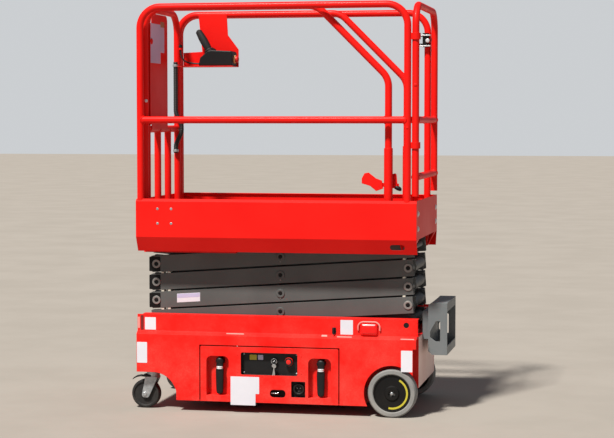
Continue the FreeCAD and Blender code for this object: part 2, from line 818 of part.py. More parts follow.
def drive_wheel(word, sign):
    """Solid rubber tyre on a disc hub, both turned, centred on the axle."""
    radius = dim.drive_diameter / 2
    hub_radius = dim.hub_diameter / 2
    half = dim.drive_wide / 2
    tyre = lathe(f"tyre_{word}", [
        (hub_radius, -half + 4), (hub_radius + 4, -half), (radius - 6, -half), (radius, -half + 10),
        (radius, half - 10), (radius - 6, half), (hub_radius + 4, half), (hub_radius, half - 4),
    ])
    hub = lathe(f"hub_{word}", [
        (dim.axle_bore, -half + 6), (hub_radius, -half + 6), (hub_radius, half - 5),
        (hub_radius - 6, half - 5), (hub_radius - 6, half - 9), (36, half - 9),
        (32, half - 3), (dim.axle_bore, half - 3),
    ])
    middle = sign * (drive_outer - half)
    for label, body in ((f"drive_tyre_{word}", tyre), (f"drive_hub_{word}", hub)):
        turned = together(label + "_placed", [body])
        if sign < 0:
            place(turned, (axle_x, middle, axle_z), (0, 0, 1), 180)
        else:
            place(turned, (axle_x, middle, axle_z))
        keep(label, turned)


def caster(word, sign):
    """Swivel head fixed under the roof plate, fork below it, wheel on its own axle."""
    post_x = roller_end + dim.caster_from_end
    post_y = sign * (half_width - dim.caster_side_inset)
    wheel_x = post_x - dim.caster_trail
    radius = dim.caster_diameter / 2
    half = dim.caster_wide / 2
    gap = half + 3
    wall = dim.fork_wall
    crown_low = 2 * radius + 6
    head = rod(f"caster_head_{word}", "z", (post_x, post_y), 34, dim.caster_roof - 12, dim.caster_roof)
    king = rod(f"caster_king_{word}", "z", (post_x, post_y), dim.kingpin / 2,
               crown_low - 2, dim.caster_roof - 12)
    keep(f"caster_head_{word}", fuse(f"caster_head_solid_{word}", [head, king]))
    crown = rod(f"caster_crown_{word}", "z", (post_x, post_y), 31, crown_low, dim.caster_roof - 12 - dim.seat_gap)
    bridge = box(f"caster_bridge_{word}", (post_x - 34, post_x + 26),
                 (post_y - gap - wall, post_y + gap + wall), (crown_low, crown_low + 8))
    leg = pad(f"caster_leg_{word}", "XZ", [
        (wheel_x - 18, radius - 18, 14), (wheel_x + 18, radius - 18, 14),
        (post_x + 26, crown_low), (post_x + 26, crown_low + 8), (post_x - 34, crown_low + 8),
        (post_x - 34, crown_low),
    ], post_y + gap, post_y + gap + wall)
    leg_other = pad(f"caster_leg_other_{word}", "XZ", [
        (wheel_x - 18, radius - 18, 14), (wheel_x + 18, radius - 18, 14),
        (post_x + 26, crown_low), (post_x + 26, crown_low + 8), (post_x - 34, crown_low + 8),
        (post_x - 34, crown_low),
    ], post_y - gap - wall, post_y - gap)
    axle = rod(f"caster_axle_{word}", "y", (wheel_x, radius), dim.kingpin / 2 - dim.pin_fit,
               post_y - gap - wall - 5, post_y + gap + wall + 5)
    bore = rod(f"caster_king_bore_{word}", "z", (post_x, post_y), dim.kingpin / 2 + dim.pin_fit,
               crown_low - 5, dim.caster_roof)
    keep(f"caster_fork_{word}", cut(f"caster_fork_solid_{word}", fuse(f"caster_fork_raw_{word}",
         [crown, bridge, leg, leg_other, axle]), [bore]))
    wheel = lathe(f"caster_tread_{word}", [
        (dim.kingpin / 2, -half), (22, -half), (26, -half + 6), (radius - 16, -half + 6),
        (radius - 12, -half), (radius - 4, -half + 1), (radius, -half + 9), (radius, half - 9),
        (radius - 4, half - 1), (radius - 12, half), (radius - 16, half - 6), (26, half - 6),
        (22, half), (dim.kingpin / 2, half),
    ])
    keep(f"caster_wheel_{word}", place(together(f"caster_wheel_placed_{word}", [wheel]),
                                       (wheel_x, post_y, radius)))


def drawer(word, sign):
    """Front panel with latch recesses, and the tray behind it that rests on the runners."""
    left, right = drawer_left, drawer_right
    low = dim.sill_height
    high = low + dim.drawer_height
    wall = dim.sheet_wall
    latch_xs = (left + dim.latch_left_inset, right - dim.latch_inset - dim.latch_wide)
    room_start = latch_xs[0] + dim.latch_wide
    room = latch_xs[1] - room_start
    controls_start = room_start + room * dim.controls_place
    controls_wide = room * dim.controls_share
    holes = []
    for x in latch_xs:
        base = low + dim.latch_low
        holes.append([(x, base), (x + dim.latch_wide, base),
                      (x + dim.latch_wide, base + dim.latch_high, dim.latch_bend),
                      (x, base + dim.latch_high, dim.latch_bend)])
    if sign < 0:
        x = controls_start
        base = low + dim.controls_low
        holes.append([(x, base, 8), (x + controls_wide, base, 8),
                      (x + controls_wide, base + dim.controls_high, 8),
                      (x, base + dim.controls_high, 8)])
        for along, share, rise, tall, bend in (
                (dim.socket_place, dim.socket_share, dim.socket_low, dim.socket_high, 4),
                (dim.slot_place, dim.slot_share, dim.slot_low, dim.slot_high, dim.slot_high * 0.45)):
            x, wide, base = room_start + room * along, room * share, low + rise
            holes.append([(x, base, bend), (x + wide, base, bend),
                          (x + wide, base + tall, bend), (x, base + tall, bend)])
    face = half_width
    panel = pad(f"drawer_panel_{word}", "XZ",
                [(left, low), (right, low), (right, high, 6), (left, high, 6)],
                face - wall, face, holes=holes)
    front = face - wall
    back = front - dim.drawer_depth
    tray_low = low + wall + dim.runner_height + dim.seat_gap
    thin = dim.tray_wall
    tray = box(f"tray_floor_{word}", (left + 8, right - 8), (back, front), (tray_low, tray_low + thin))
    tray_back = box(f"tray_back_{word}", (left + 8, right - 8), (back, back + thin),
                    (tray_low, tray_low + dim.tray_side))
    pieces = [panel, tray, tray_back]
    for n, x in enumerate((left + 8, right - 8 - thin)):
        pieces.append(box(f"tray_side_{word}_{n}", (x, x + thin), (back, front),
                          (tray_low, tray_low + dim.tray_side)))
    depth = dim.latch_depth
    cups = []
    for n, x in enumerate(latch_xs):
        base = low + dim.latch_low
        around = dim.tray_wall
        bend = dim.latch_bend + around
        outline = [(x - around, base - around), (x + dim.latch_wide + around, base - around),
                   (x + dim.latch_wide + around, base + dim.latch_high + around, bend),
                   (x - around, base + dim.latch_high + around, bend)]
        back_plate = pad(f"latch_back_{word}_{n}", "XZ", outline, front - depth - 3, front - depth)
        rim = pad(f"latch_rim_{word}_{n}", "XZ", outline, front - depth, front, holes=[holes[n]])
        cups += [back_plate, rim]
    body = fuse(f"drawer_solid_{word}", pieces + cups)
    if sign < 0:
        body = mirrored(f"drawer_mirror_{word}", body)
    keep(f"drawer_{word}", body)
    levers = []
    for n, x in enumerate(latch_xs):
        turn_x = x + dim.latch_wide / 2 + (8 if n == 0 else 4)
        turn_z = low + dim.latch_low + dim.latch_high - dim.lever_drop
        half_knob = dim.lever_knob
        half_tip = half_knob * 0.85
        tip_z = turn_z - dim.lever_length
        knob = rod(f"latch_knob_{word}_{n}", "y", (turn_x, turn_z), half_knob, front - depth, face - 4)
        blade = pad(f"latch_blade_{word}_{n}", "XZ", [
            (turn_x - half_knob, turn_z + 14, 8), (turn_x + half_knob, turn_z + 14, 8),
            (turn_x + half_tip, tip_z, 15), (turn_x - half_tip, tip_z, 15),
        ], face - 12, face - 4)
        levers.append(fuse(f"latch_lever_{word}_{n}", [knob, blade]))
    pair = together(f"latches_pair_{word}", levers)
    if sign < 0:
        pair = mirrored(f"latches_mirror_{word}", pair)
    keep(f"latches_{word}", pair)
    load_low = tray_low + thin
    if sign < 0:
        margin = dim.load_margin
        tank_end = left + drawer_length * 0.38
        pump_end = left + drawer_length * 0.7
        tank = box("tank", (left + margin, tank_end), (-(front - 2 * margin), -(back + margin)),
                   (load_low, load_low + dim.load_height))
        pump_y = back + margin + dim.pump_radius
        pump = rod("pump", "x", (-pump_y, load_low + dim.pump_radius), dim.pump_radius, tank_end, pump_end)
        pump_foot = box("pump_foot", (tank_end, pump_end), (-(pump_y + dim.pump_radius), -(back + margin)),
                        (load_low, load_low + dim.runner_height))
        keep("pump_unit", fuse("pump_solid", [tank, pump, pump_foot]))
        x = controls_start
        base = low + dim.controls_low
        cup = pad("controls_cup", "XZ", [
            (x - 3, base - 3, 8), (x + controls_wide + 3, base - 3, 8),
            (x + controls_wide + 3, base + dim.controls_high + 3, 8),
            (x - 3, base + dim.controls_high + 3, 8),
        ], -(front - dim.seat_gap / 10), -(front - 26))
        hollow = box("controls_hollow", (x, x + controls_wide), (-front - 1, -(front - 22)),
                     (base, base + dim.controls_high))
        button_z = base + dim.controls_high * 0.62
        stop = rod("stop_button", "y", (x + controls_wide * 0.84, button_z), 19, -front - 2, -(front - 24))
        key = rod("key_switch", "y", (x + controls_wide * 0.578, button_z), 12, -front + 6, -(front - 24))
        panel = fuse("controls_solid", [cut("controls_open", cup, [hollow]), stop, key])
        keep("ground_controls", panel)
    else:
        margin = dim.load_margin
        pitch = (drawer_length - margin) / 2
        batteries = [box(f"battery_{n}", (left + margin + pitch * n, left + pitch * (n + 1)),
                         (back + margin, front - 2 * margin), (load_low, load_low + dim.load_height))
                     for n in range(2)]
        keep("batteries", together("batteries_pair", batteries))


def lamps():
    """A red lamp with a bowed front on each side of the band, and the hoop that guards it."""
    x = dim.entry_end - dim.lamp_from_entry
    low = band_low + 2
    half = dim.lamp_wide / 2
    face = band_half + dim.lamp_out
    lens = pad("lamp_lens", "XY", [
        (x - half, band_half), (x + half, band_half), (x + half, band_half + 5),
        (x + half * 0.55, face, 30), (x - half * 0.55, face, 30), (x - half, band_half + 5),
    ], low, low + dim.lamp_high)
    wide = dim.lamp_hoop_wide / 2
    top = dim.band_top - dim.lamp_hoop_drop
    bar = dim.lamp_hoop_bar
    hoop = pad("lamp_hoop", "XZ", [
        (x - wide, low + 24), (x - wide, top, 30), (x + wide, top, 30), (x + wide, low + 24),
        (x + wide - bar, low + 24), (x + wide - bar, top - bar, 22),
        (x - wide + bar, top - bar, 22), (x - wide + bar, low + 24),
    ], band_half, band_half + 14)
    return keep("side_lamps", both_sides("side_lamps_pair", together("side_lamp", [lens, hoop])))


def entry_step():
    """Welded grey step: a box of plate with an open front and a slanted hand hole in each cheek."""
    start = dim.entry_end + dim.step_start
    end = dim.entry_end + dim.step_reach
    low, high = dim.step_low, dim.step_high
    half = dim.step_wide / 2
    wall = dim.step_wall
    cheek = pad("step_cheek", "XZ", [
        (start + 18, low, 12), (end, low), (end, high), (start + 14, high, 8),
        (start, high - 14, 8), (start, low + 18, 12),
    ], half - wall, half, holes=[[
        (start + 37, high - 186, 5), (start + 58, high - 186, 5), (start + 58, high - 88, 5),
        (start + 37, high - 88, 5), (start + 9, high - 140, 5), (start + 9, high - 166, 5),
    ]])
    other = mirrored("step_cheek_other", cheek)
    inside = half - wall
    tread = box("step_tread", (start + 20, end), (-inside, inside), (low, low + wall))
    top = box("step_top", (start + 16, end), (-inside, inside), (high - wall, high))
    back = box("step_back", (start, start + wall), (-inside, inside), (low + 20, high - 16))
    borders = [box(f"step_border_{n}", (end - wall, end), (-inside, inside), (z, z + dim.step_border))
               for n, z in enumerate((low, high - dim.step_border))]
    mount = box("step_mount", (dim.entry_end, start), (-inside + 20, inside - 20),
                (dim.side_top - 20, dim.band_top + 20))
    return keep("entry_step", fuse("step_solid", [cheek, other, tread, top, back, mount] + borders))


def deck_shell():
    """Folded skirts with beads and lips on both sides, the floor, its edge beams and end plates."""
    wall = dim.deck_wall
    bead = dim.skirt_bead
    lip_low = dim.lip_top - dim.lip_drop
    skirt = pad("skirt_far", "YZ", [
        (half_width - dim.lip_depth, lip_low),
        (half_width, dim.lip_top),
        (half_width, dim.skirt_top - bead),
        (half_width - bead, dim.skirt_top),
        (half_width - bead - wall, dim.skirt_top - wall / 2),
        (half_width - wall, dim.skirt_top - bead - wall / 2),
        (half_width - wall, dim.lip_top + wall / 2),
        (half_width - dim.lip_depth - wall, lip_low),
    ], roller_end, dim.entry_end)
    left_post, right_post, post_y = outer_post_places()
    notches = [rod(f"post_notch_{n}", "z", (x, post_y), dim.rail_radius + dim.seat_gap,
                   dim.skirt_top - bead - 2 * wall, dim.skirt_top + 1)
               for n, x in enumerate((left_post, right_post))]
    slot_end = dim.entry_end - dim.lip_slot_from_entry
    slot_low = lip_low + 0.3 * dim.lip_drop
    slot = pad("lip_slot", "XZ", [
        (slot_end - dim.lip_slot_wide, slot_low, 12), (slot_end, slot_low, 12),
        (slot_end, slot_low + 26, 12), (slot_end - dim.lip_slot_wide, slot_low + 26, 12),
    ], half_width - dim.lip_depth - 2 * wall, half_width + 1)
    skirt = cut("skirt_notched", skirt, notches + [slot])
    inside = half_width - wall
    floor = box("deck_floor", (roller_end, dim.entry_end), (-inside, inside),
                (dim.deck_floor_top - 2 * wall, dim.deck_floor_top))
    beam_top = dim.deck_floor_top - 2 * wall
    track_top = top_pin_height + dim.roller_radius + dim.roller_gap + dim.track_wall
    beam = box("edge_beam", (roller_end + wall, fixed_pin_x - 60), (track_in, track_out),
               (track_top, beam_top))
    sides = [skirt, beam]
    for word, x, way in (("roller", roller_end, 1), ("entry", dim.entry_end, -1)):
        inner = x + way * wall
        tuck = x + way * dim.lip_depth
        sides.append(pad(f"deck_lip_{word}", "XZ", [
            (x, dim.lip_top), (tuck, lip_low), (tuck + way * wall, lip_low), (inner, dim.lip_top + wall),
        ], track_out + dim.slide_gap, half_width - dim.lip_depth))
    far = fuse("deck_side", sides)
    roller_plate = box("deck_end_roller", (roller_end, roller_end + wall), (-inside, inside),
                       (dim.lip_top, beam_top))
    entry_plate = box("deck_end_entry", (dim.entry_end - wall, dim.entry_end), (-inside, inside),
                      (dim.lip_top, dim.skirt_top))
    pieces = [far, mirrored("deck_side_other", far), floor, roller_plate, entry_plate]
    return keep("deck_shell", fuse("deck_solid", pieces))


def outer_post_places():
    """Where the outer rails' posts stand: both X places and the distance from the middle."""
    return (roller_end + dim.outer_post_from_end, dim.entry_end - dim.outer_post_from_entry,
            half_width - dim.deck_wall - dim.seat_gap - dim.rail_radius)


def deck_tracks():
    low_x = roller_end + dim.deck_wall + 8
    profile = channel("deck_track", low_x, low_x + dim.arm_length * 0.3683, top_pin_height)
    return keep("deck_tracks", both_sides("deck_tracks_pair", profile))


def deck_pivot():
    """Ears under the deck floor for the top outer arms' fixed pivot."""
    low = arm_outer_face + 6
    beam_top = dim.deck_floor_top - 2 * dim.deck_wall
    ear = pad("deck_ear", "XZ", [
        (fixed_pin_x - 26, top_pin_height - 26, 22), (fixed_pin_x + 26, top_pin_height - 26, 22),
        (fixed_pin_x + 40, beam_top), (fixed_pin_x - 50, beam_top),
    ], low, low + dim.ear_wall, rounds=[((fixed_pin_x, top_pin_height), dim.pin_radius + dim.pin_fit)])
    return keep("deck_pivot", both_sides("deck_pivot_pair", ear))


def outer_rail(word, sign):
    """Two posts and a top rail bent from one tube, with a mid rail between the posts."""
    radius = dim.rail_radius
    left, right, post_y = outer_post_places()
    y = sign * post_y
    top = dim.rail_top - radius
    loop = bent_tube(f"outer_loop_{word}", "XZ", y, [
        (left, dim.deck_floor_top), (left, top, dim.rail_bend),
        (right, top, dim.rail_bend), (right, dim.deck_floor_top),
    ], radius)
    mid = rod(f"outer_mid_{word}", "x", (y, dim.mid_rail_height), radius, left, right)
    return keep(f"outer_rail_{word}", fuse(f"outer_rail_solid_{word}", [loop, mid]))


slide_low = dim.deck_floor_top + dim.slide_gap
slide_top = slide_low + dim.slide_plate
post_foot = slide_top + dim.post_pad_height
cage_left = roller_end + dim.cage_front
cage_right = dim.entry_end - dim.cage_rear
cage_half = half_width - dim.cage_side_inset
gate_half = half_width - dim.gate_side_inset
gate_bar = dim.gate_low + (dim.mid_rail_height - dim.gate_low) * dim.gate_bar_share
front_mid = dim.mid_rail_height - dim.front_mid_drop


def extension_floor():
    """The slide-out platform: a plate with low toe boards on three sides."""
    half = cage_half + dim.rail_radius + 8
    right = cage_right + dim.rail_radius + 8
    wall = dim.deck_wall
    floor = box("extension_plate", (roller_end, right), (-half, half), (slide_low, slide_top))
    toe = box("extension_toe", (roller_end, roller_end + wall), (-half, half),
              (slide_top, slide_top + dim.toe_height))
    sides = []
    for n, y in enumerate((-half, half - wall)):
        sides.append(box(f"extension_side_{n}", (roller_end, right), (y, y + wall),
                         (slide_top, slide_top + dim.toe_height / 3)))
    shoes = []
    for n, x in enumerate((roller_end + 60, right - 130)):
        shoes.append(box(f"slide_shoe_{n}", (x, x + 60), (-half + 10, half - 10),
                         (dim.deck_floor_top + dim.seat_gap, slide_low)))
    hoop = front_hoop_half()
    spots = [(cage_left, y, dim.rail_radius) for y in (-cage_half, -hoop, -hoop / 3, hoop / 3, hoop, cage_half)]
    spots += [(cage_right, y, dim.rail_radius + dim.cage_socket_wall) for y in (-cage_half, cage_half)]
    pads = [rod(f"post_pad_{n}", "z", (x, y), radius + dim.post_pad_lip, slide_top, post_foot)
            for n, (x, y, radius) in enumerate(spots)]
    return keep("extension_floor", fuse("extension_solid", [floor, toe] + sides + shoes + pads))


def front_hoop_half():
    """Half the distance between the front hoop's posts, which stand just inside the cage's own."""
    return cage_half - 2 * dim.rail_radius - dim.seat_gap


def cage_side(word, sign):
    """A cage side: post, top rail, slope and rear post bent from one tube, with a mid rail."""
    radius = dim.rail_radius
    y = sign * cage_half
    top = dim.rail_top - radius
    slope_run = top - dim.cage_slope_low
    loop = bent_tube(f"cage_loop_{word}", "XZ", y, [
        (cage_left, post_foot), (cage_left, top, dim.rail_bend),
        (cage_right - slope_run, top, dim.rail_bend), (cage_right, dim.cage_slope_low, dim.rail_bend),
        (cage_right, post_foot),
    ], radius)
    mid = rod(f"cage_mid_{word}", "x", (y, dim.mid_rail_height), radius, cage_left, cage_right)
    socket = rod(f"cage_socket_{word}", "z", (cage_right, y), radius + dim.cage_socket_wall,
                 post_foot, dim.cage_socket_top)
    pieces = [loop, mid, socket]
    if sign < 0:
        pieces += lock_pedal(y)
    return keep(f"cage_{word}", fuse(f"cage_solid_{word}", pieces))


def lock_pedal(post_y):
    """The lever that locks the extension, on the inner side of the near rear post."""
    z = dim.pedal_height
    inner = post_y + dim.rail_radius
    lug = box("pedal_lug", (cage_right - 16, cage_right + 16), (inner, inner + 14), (z - 45, z + 10))
    bar = pad("pedal_bar", "XZ", [
        (cage_right - 130, z - 6, 5), (cage_right - 20, z - 26, 5), (cage_right + 46, z - 26, 5),
        (cage_right + 46, z - 8, 5), (cage_right - 14, z - 8, 5), (cage_right - 124, z + 12, 5),
    ], inner + 14, inner + 20)
    blade = pad("pedal_blade", "XZ", [
        (cage_right + 12, z - 20, 4), (cage_right + 40, z - 20, 4), (cage_right + 34, z + 44, 8),
        (cage_right + 16, z + 36, 8),
    ], inner + 8, inner + 14)
    return [lug, bar, blade]


def cage_front():
    """The hoop across the cage's front end, its mid rail and two short bars below it."""
    radius = dim.rail_radius
    half = front_hoop_half()
    top = dim.rail_top - radius
    loop = bent_tube("front_loop", "YZ", cage_left, [
        (-half, post_foot), (-half, top, dim.rail_bend), (half, top, dim.rail_bend), (half, post_foot),
    ], radius)
    gland = rod("cord_gland", "z", gland_place(), dim.cord_gland, gland_low(), gland_low() + 26)
    rail = rod("front_mid_rail", "y", (cage_left, front_mid), radius, -half, half)
    pieces = [fuse("front_hoop", [loop, gland]), cut("front_mid_rail_coped", rail, [loop])]
    for n, y in enumerate((-half / 3, half / 3)):
        bar = rod(f"front_bar_{n}", "z", (cage_left, y), radius, post_foot, front_mid)
        pieces.append(cut(f"front_bar_coped_{n}", bar, [rail]))
    return keep("cage_front", together("cage_front_tubes", pieces))


def conduit_y():
    """The conduit runs beside the hoop's far post, on its inner side."""
    return front_hoop_half() - dim.rail_radius - dim.conduit_radius - dim.seat_gap


def gland_place():
    """Where the control cord hangs from a gland on the hoop's far post."""
    return (cage_left + dim.rail_radius + dim.cord_gland / 2, front_hoop_half() - dim.cord_gland)


def gland_low():
    return dim.rail_top - 197


def conduit():
    """A black sleeve that bows round the mid rail, with two bands that clamp it to the hoop's far post."""
    low = front_mid - dim.conduit_drop
    top = front_mid + (dim.rail_top - front_mid) * dim.conduit_share
    out = cage_left + dim.rail_radius + dim.conduit_radius + 2
    bow = dim.conduit_bow
    y = conduit_y()
    sleeve = bent_tube("conduit_sleeve", "XZ", y, [
        (cage_left, low), (cage_left, front_mid - bow, 40), (out, front_mid - bow / 3, 40),
        (out, front_mid + bow / 3, 40), (cage_left, front_mid + bow, 40), (cage_left, top),
    ], dim.conduit_radius)
    bands = [rod(f"conduit_band_{n}", "z", (cage_left, y), dim.conduit_radius + 3, z, z + 12)
             for n, z in enumerate((low + 6, top - 24))]
    post = rod("conduit_post", "z", (cage_left, front_hoop_half()), dim.rail_radius + dim.seat_gap,
               low, top)
    keep("conduit", cut("conduit_clamped", fuse("conduit_banded", [sleeve] + bands), [post]))


def notice_panel():
    """The sheet-metal panel on the inner side of the front hoop, from its mid rail to its top bar."""
    near = -front_hoop_half() + dim.rail_radius
    face = cage_left + dim.rail_radius + dim.seat_gap
    top = dim.rail_top - dim.notice_drop
    keep("notice_panel", pad("notice_plate", "YZ", [
        (near, front_mid), (near + dim.notice_wide, front_mid), (near + dim.notice_wide, top, 30),
        (near, top, 30),
    ], face, face + dim.notice_wall))


def eased(points):
    """A cord's route with every bend as large as the runs beside it allow."""
    spots = [Vector(as_size(x).value, as_size(z).value, 0) for x, z in points]
    route = [points[0]]
    for point, before, spot, after in zip(points[1:], spots, spots[1:], spots[2:]):
        into, out = spot - before, after - spot
        bend = 0.45 * min(into.Length, out.Length) / math.tan(into.getAngle(out) / 2)
        print("cord bend radius", round(bend, 1))
        route.append((*point, bend))
    return route + [points[-1]]


def control_station():
    """Bracket plate on the far cage rail with its tray, and the control box with its grip and cord."""
    radius = dim.rail_radius
    wall = dim.deck_wall
    plate_y = cage_half - radius - wall
    left = cage_left + dim.station_inset
    top = dim.rail_top - radius
    tray_top = top - 266
    plate = pad("station_plate", "XZ", [
        (left, top), (left + 150, top), (left + 156, top - 106), (left + 212, top - 180),
        (left + 212, tray_top - wall), (left - 80, tray_top - wall), (left - 80, top - 195),
        (left + 20, top - 190),
    ], plate_y, plate_y + wall)
    tray = box("station_tray", (left - 76, left + 212), (plate_y - 130, plate_y), (tray_top - wall, tray_top))
    keep("control_bracket", fuse("control_bracket_solid", [plate, tray]))
    start = left + 28
    end = start + 178
    middle = plate_y - 60
    case = pad("control_case", "XZ", [
        (start, tray_top), (end, tray_top, 8), (end, tray_top + 62, 14), (start + 60, tray_top + 84, 14),
        (start + 6, tray_top + 40, 10),
    ], plate_y - 110, plate_y - 10)
    collar = doc.addObject("Part::Cone", "grip_collar")
    bind(collar, "Radius1", 26)
    bind(collar, "Radius2", 15)
    bind(collar, "Height", 22)
    place(collar, (start + 44, middle, tray_top + 66), (0, 1, 0), -24)
    grip = doc.addObject("Part::Cylinder", "grip")
    bind(grip, "Radius", 15)
    bind(grip, "Height", 125)
    place(grip, (start + 42, middle, tray_top + 76), (0, 1, 0), -28)
    stop = rod("deck_stop", "x", (middle, tray_top + 34), 17, end - 2, end + 22)
    spot_x, spot_y = gland_place()
    cord_z = tray_top + 14
    nose = rod("cord_nose", "x", (spot_y, cord_z), dim.cord_gland, start - 14, start + 10)
    keep("control_box", fuse("control_box_solid", [case, collar, grip, stop, nose]))
    keep("control_cord", bent_tube("cord", "XZ", spot_y, eased([
        (spot_x, gland_low()), (spot_x, gland_low() - 32), (spot_x + 26, cord_z + 8),
        (start - 42, cord_z), (start - 14, cord_z),
    ]), dim.cord_radius))


def gate():
    """The swinging gate: a hoop across the entry end with a mid bar and a low bar."""
    radius = dim.rail_radius
    x = dim.entry_end - dim.gate_from_entry
    half = gate_half
    top = dim.rail_top - radius
    loop = bent_tube("gate_loop", "YZ", x, [
        (-half, dim.gate_low), (-half, top, dim.rail_bend), (half, top, dim.rail_bend), (half, dim.gate_low),
    ], radius)
    bars = [rod(f"gate_bar_{n}", "y", (x, height), radius, -half, half)
            for n, height in enumerate((dim.mid_rail_height, gate_bar))]
    return keep("gate", fuse("gate_solid", [loop] + bars))


def gate_fittings():
    """Hinge rings on the near post and a bolt latch on the far post."""
    radius = dim.rail_radius
    gate_x = dim.entry_end - dim.gate_from_entry
    left_post, post_x, post_y = outer_post_places()
    high = dim.hinge_high
    rings = []
    for n, z in enumerate(((gate_bar + dim.mid_rail_height) / 2, dim.rail_top - dim.hinge_drop)):
        ring = rod(f"hinge_ring_{n}", "z", (gate_x, -gate_half), radius + 6, z, z + high)
        strap = box(f"hinge_arm_{n}", (post_x, gate_x), (-post_y - 4, -post_y + 10), (z, z + high))
        hole = rod(f"hinge_hole_{n}", "z", (gate_x, -gate_half), radius + dim.seat_gap, z - 1, z + high + 1)
        post_hole = rod(f"hinge_post_{n}", "z", (post_x, -post_y), radius, z - 1, z + high + 1)
        rings.append(cut(f"hinge_{n}", fuse(f"hinge_raw_{n}", [ring, strap]), [hole, post_hole]))
    keep("gate_hinges", together("gate_hinges_pair", rings))
    low = dim.rail_top - dim.latch_drop
    top = low + dim.latch_tall
    inner = post_y - radius
    block = box("latch_block", (post_x - 22, post_x + 8), (inner - 18, inner), (low, top))
    bolts = [rod(f"latch_bolt_{n}", "x", (inner - 10, z), 6, post_x - 48, post_x + 14)
             for n, z in enumerate((low + 12, top - 12))]
    keep("gate_latch", fuse("gate_latch_solid", [block] + bolts))


side_plates()
base_floor()
belly_plate()
caster_bay()
wheel_wells()
base_tracks()
base_pin()
drive_motors()
for side_word, side_sign in (("near", -1), ("far", 1)):
    drive_wheel(side_word, side_sign)
    caster(side_word, side_sign)
    drawer(side_word, side_sign)
lamps()
entry_step()
for number in range(1, LEVELS + 1):
    outer_frame(number)
    inner_frame(number)
rollers("base_rollers", dim.first_pin_height)
rollers("deck_rollers", top_pin_height)
lift_cylinder()
deck_shell()
deck_tracks()
deck_pivot()
for side_word, side_sign in (("near", -1), ("far", 1)):
    outer_rail(side_word, side_sign)
    cage_side(side_word, side_sign)
extension_floor()
cage_front()
conduit()
notice_panel()
control_station()
gate()
gate_fittings()

doc.recompute()

for item in doc.Objects:
    if "Invalid" in item.State or "Error" in item.State:
        raise SystemExit(f"{item.Label} failed: {item.State}")
for label, thing in nodes.items():
    if thing.Shape.isNull() or not thing.Shape.isValid():
        raise SystemExit(f"{label} has no valid shape")

os.makedirs("parts", exist_ok=True)
for label, thing in nodes.items():
    thing.Shape.exportStep(f"parts/{label}.step")
    print(label, len(thing.Shape.Solids), "solids,", round(thing.Shape.Volume / 1000), "cm3")
print(len(nodes), "pieces")
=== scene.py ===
# %% [markdown]
# A small scissor lift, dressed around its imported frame
#
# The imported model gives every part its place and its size. This lesson gives the parts their
# finishes, adds the small fittings that a solid model leaves out, and sets up the studio and the
# camera. Lengths are in metres: +X points to the end with the step, -Y to the near side, +Z up.

import math

import bmesh
import bpy
from mathutils import Matrix, Vector


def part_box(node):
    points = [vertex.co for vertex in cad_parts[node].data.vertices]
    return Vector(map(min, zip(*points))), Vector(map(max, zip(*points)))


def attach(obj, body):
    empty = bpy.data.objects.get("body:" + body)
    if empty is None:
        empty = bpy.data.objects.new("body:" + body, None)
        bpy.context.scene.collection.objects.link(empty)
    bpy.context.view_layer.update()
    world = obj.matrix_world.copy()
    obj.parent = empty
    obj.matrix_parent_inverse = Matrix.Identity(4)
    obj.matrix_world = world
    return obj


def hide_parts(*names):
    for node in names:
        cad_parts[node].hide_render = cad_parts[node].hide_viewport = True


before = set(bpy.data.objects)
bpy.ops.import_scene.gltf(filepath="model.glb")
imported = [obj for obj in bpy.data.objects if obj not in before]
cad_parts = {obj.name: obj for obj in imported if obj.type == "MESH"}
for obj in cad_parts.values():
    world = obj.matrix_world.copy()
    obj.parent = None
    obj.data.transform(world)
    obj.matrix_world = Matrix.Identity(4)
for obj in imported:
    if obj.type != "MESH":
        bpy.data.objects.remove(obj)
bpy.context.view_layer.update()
scene = bpy.context.scene
MM = 0.001
X_AXIS, Y_AXIS, Z_AXIS = Vector((1, 0, 0)), Vector((0, 1, 0)), Vector((0, 0, 1))

# %% [markdown]
# The camera comes first
#
# The photograph was taken from about eight metres away with a long lens, so the rails look almost
# parallel. Its frame is 614 x 438 pixels. A focal length in pixels turns into millimetres once it is
# set against the sensor's width, and the horizon's height in the frame gives the tilt.

# %% Camera at the photograph's angle
FRAME_WIDTH = 614
FOCAL_PIXELS = 1740
SENSOR_WIDTH = 36
CAMERA_SPOT = Vector((1.7475, -8.43, 1.403))
CAMERA_TURN = math.radians(11.42)
CAMERA_TILT = math.radians(-3.26)


def place_camera():
    lens = bpy.data.cameras.new("photo_lens")
    lens.sensor_width = SENSOR_WIDTH
    lens.lens = SENSOR_WIDTH * FOCAL_PIXELS / FRAME_WIDTH
    camera = bpy.data.objects.new("photo_camera", lens)
    camera.location = CAMERA_SPOT
    camera.rotation_euler = (math.pi / 2 + CAMERA_TILT, 0, CAMERA_TURN)
    scene.collection.objects.link(camera)
    scene.camera = camera
    return lens.lens


print("lens in millimetres:", round(place_camera(), 1))

# %% [markdown]
# Shader nodes in one line each
#
# A material here is a small program: textures make masks, masks mix colours. Two helpers keep such
# programs readable. One adds a node and fills its sockets, the other mixes two colours by a mask.

# %% Helpers for shader nodes


def linear(red, green, blue):
    """A display colour from 0 to 255 as the linear colour that shaders use."""
    def one(value):
        value /= 255
        return value / 12.92 if value <= 0.04045 else ((value + 0.055) / 1.055) ** 2.4
    return (one(red), one(green), one(blue), 1)


def add_node(tree, kind, sockets=None, **settings):
    made = tree.nodes.new("ShaderNode" + kind)
    for key, value in settings.items():
        setattr(made, key, value)
    for key, value in (sockets or {}).items():
        if isinstance(value, bpy.types.NodeSocket):
            tree.links.new(value, made.inputs[key])
        else:
            made.inputs[key].default_value = value
    return made


def sums(tree, operation, first, second):
    return add_node(tree, "Math", {0: first, 1: second}, operation=operation).outputs[0]


def blend_colours(tree, mask, first, second):
    return add_node(tree, "Mix", {0: mask, 6: first, 7: second}, data_type="RGBA").outputs[2]


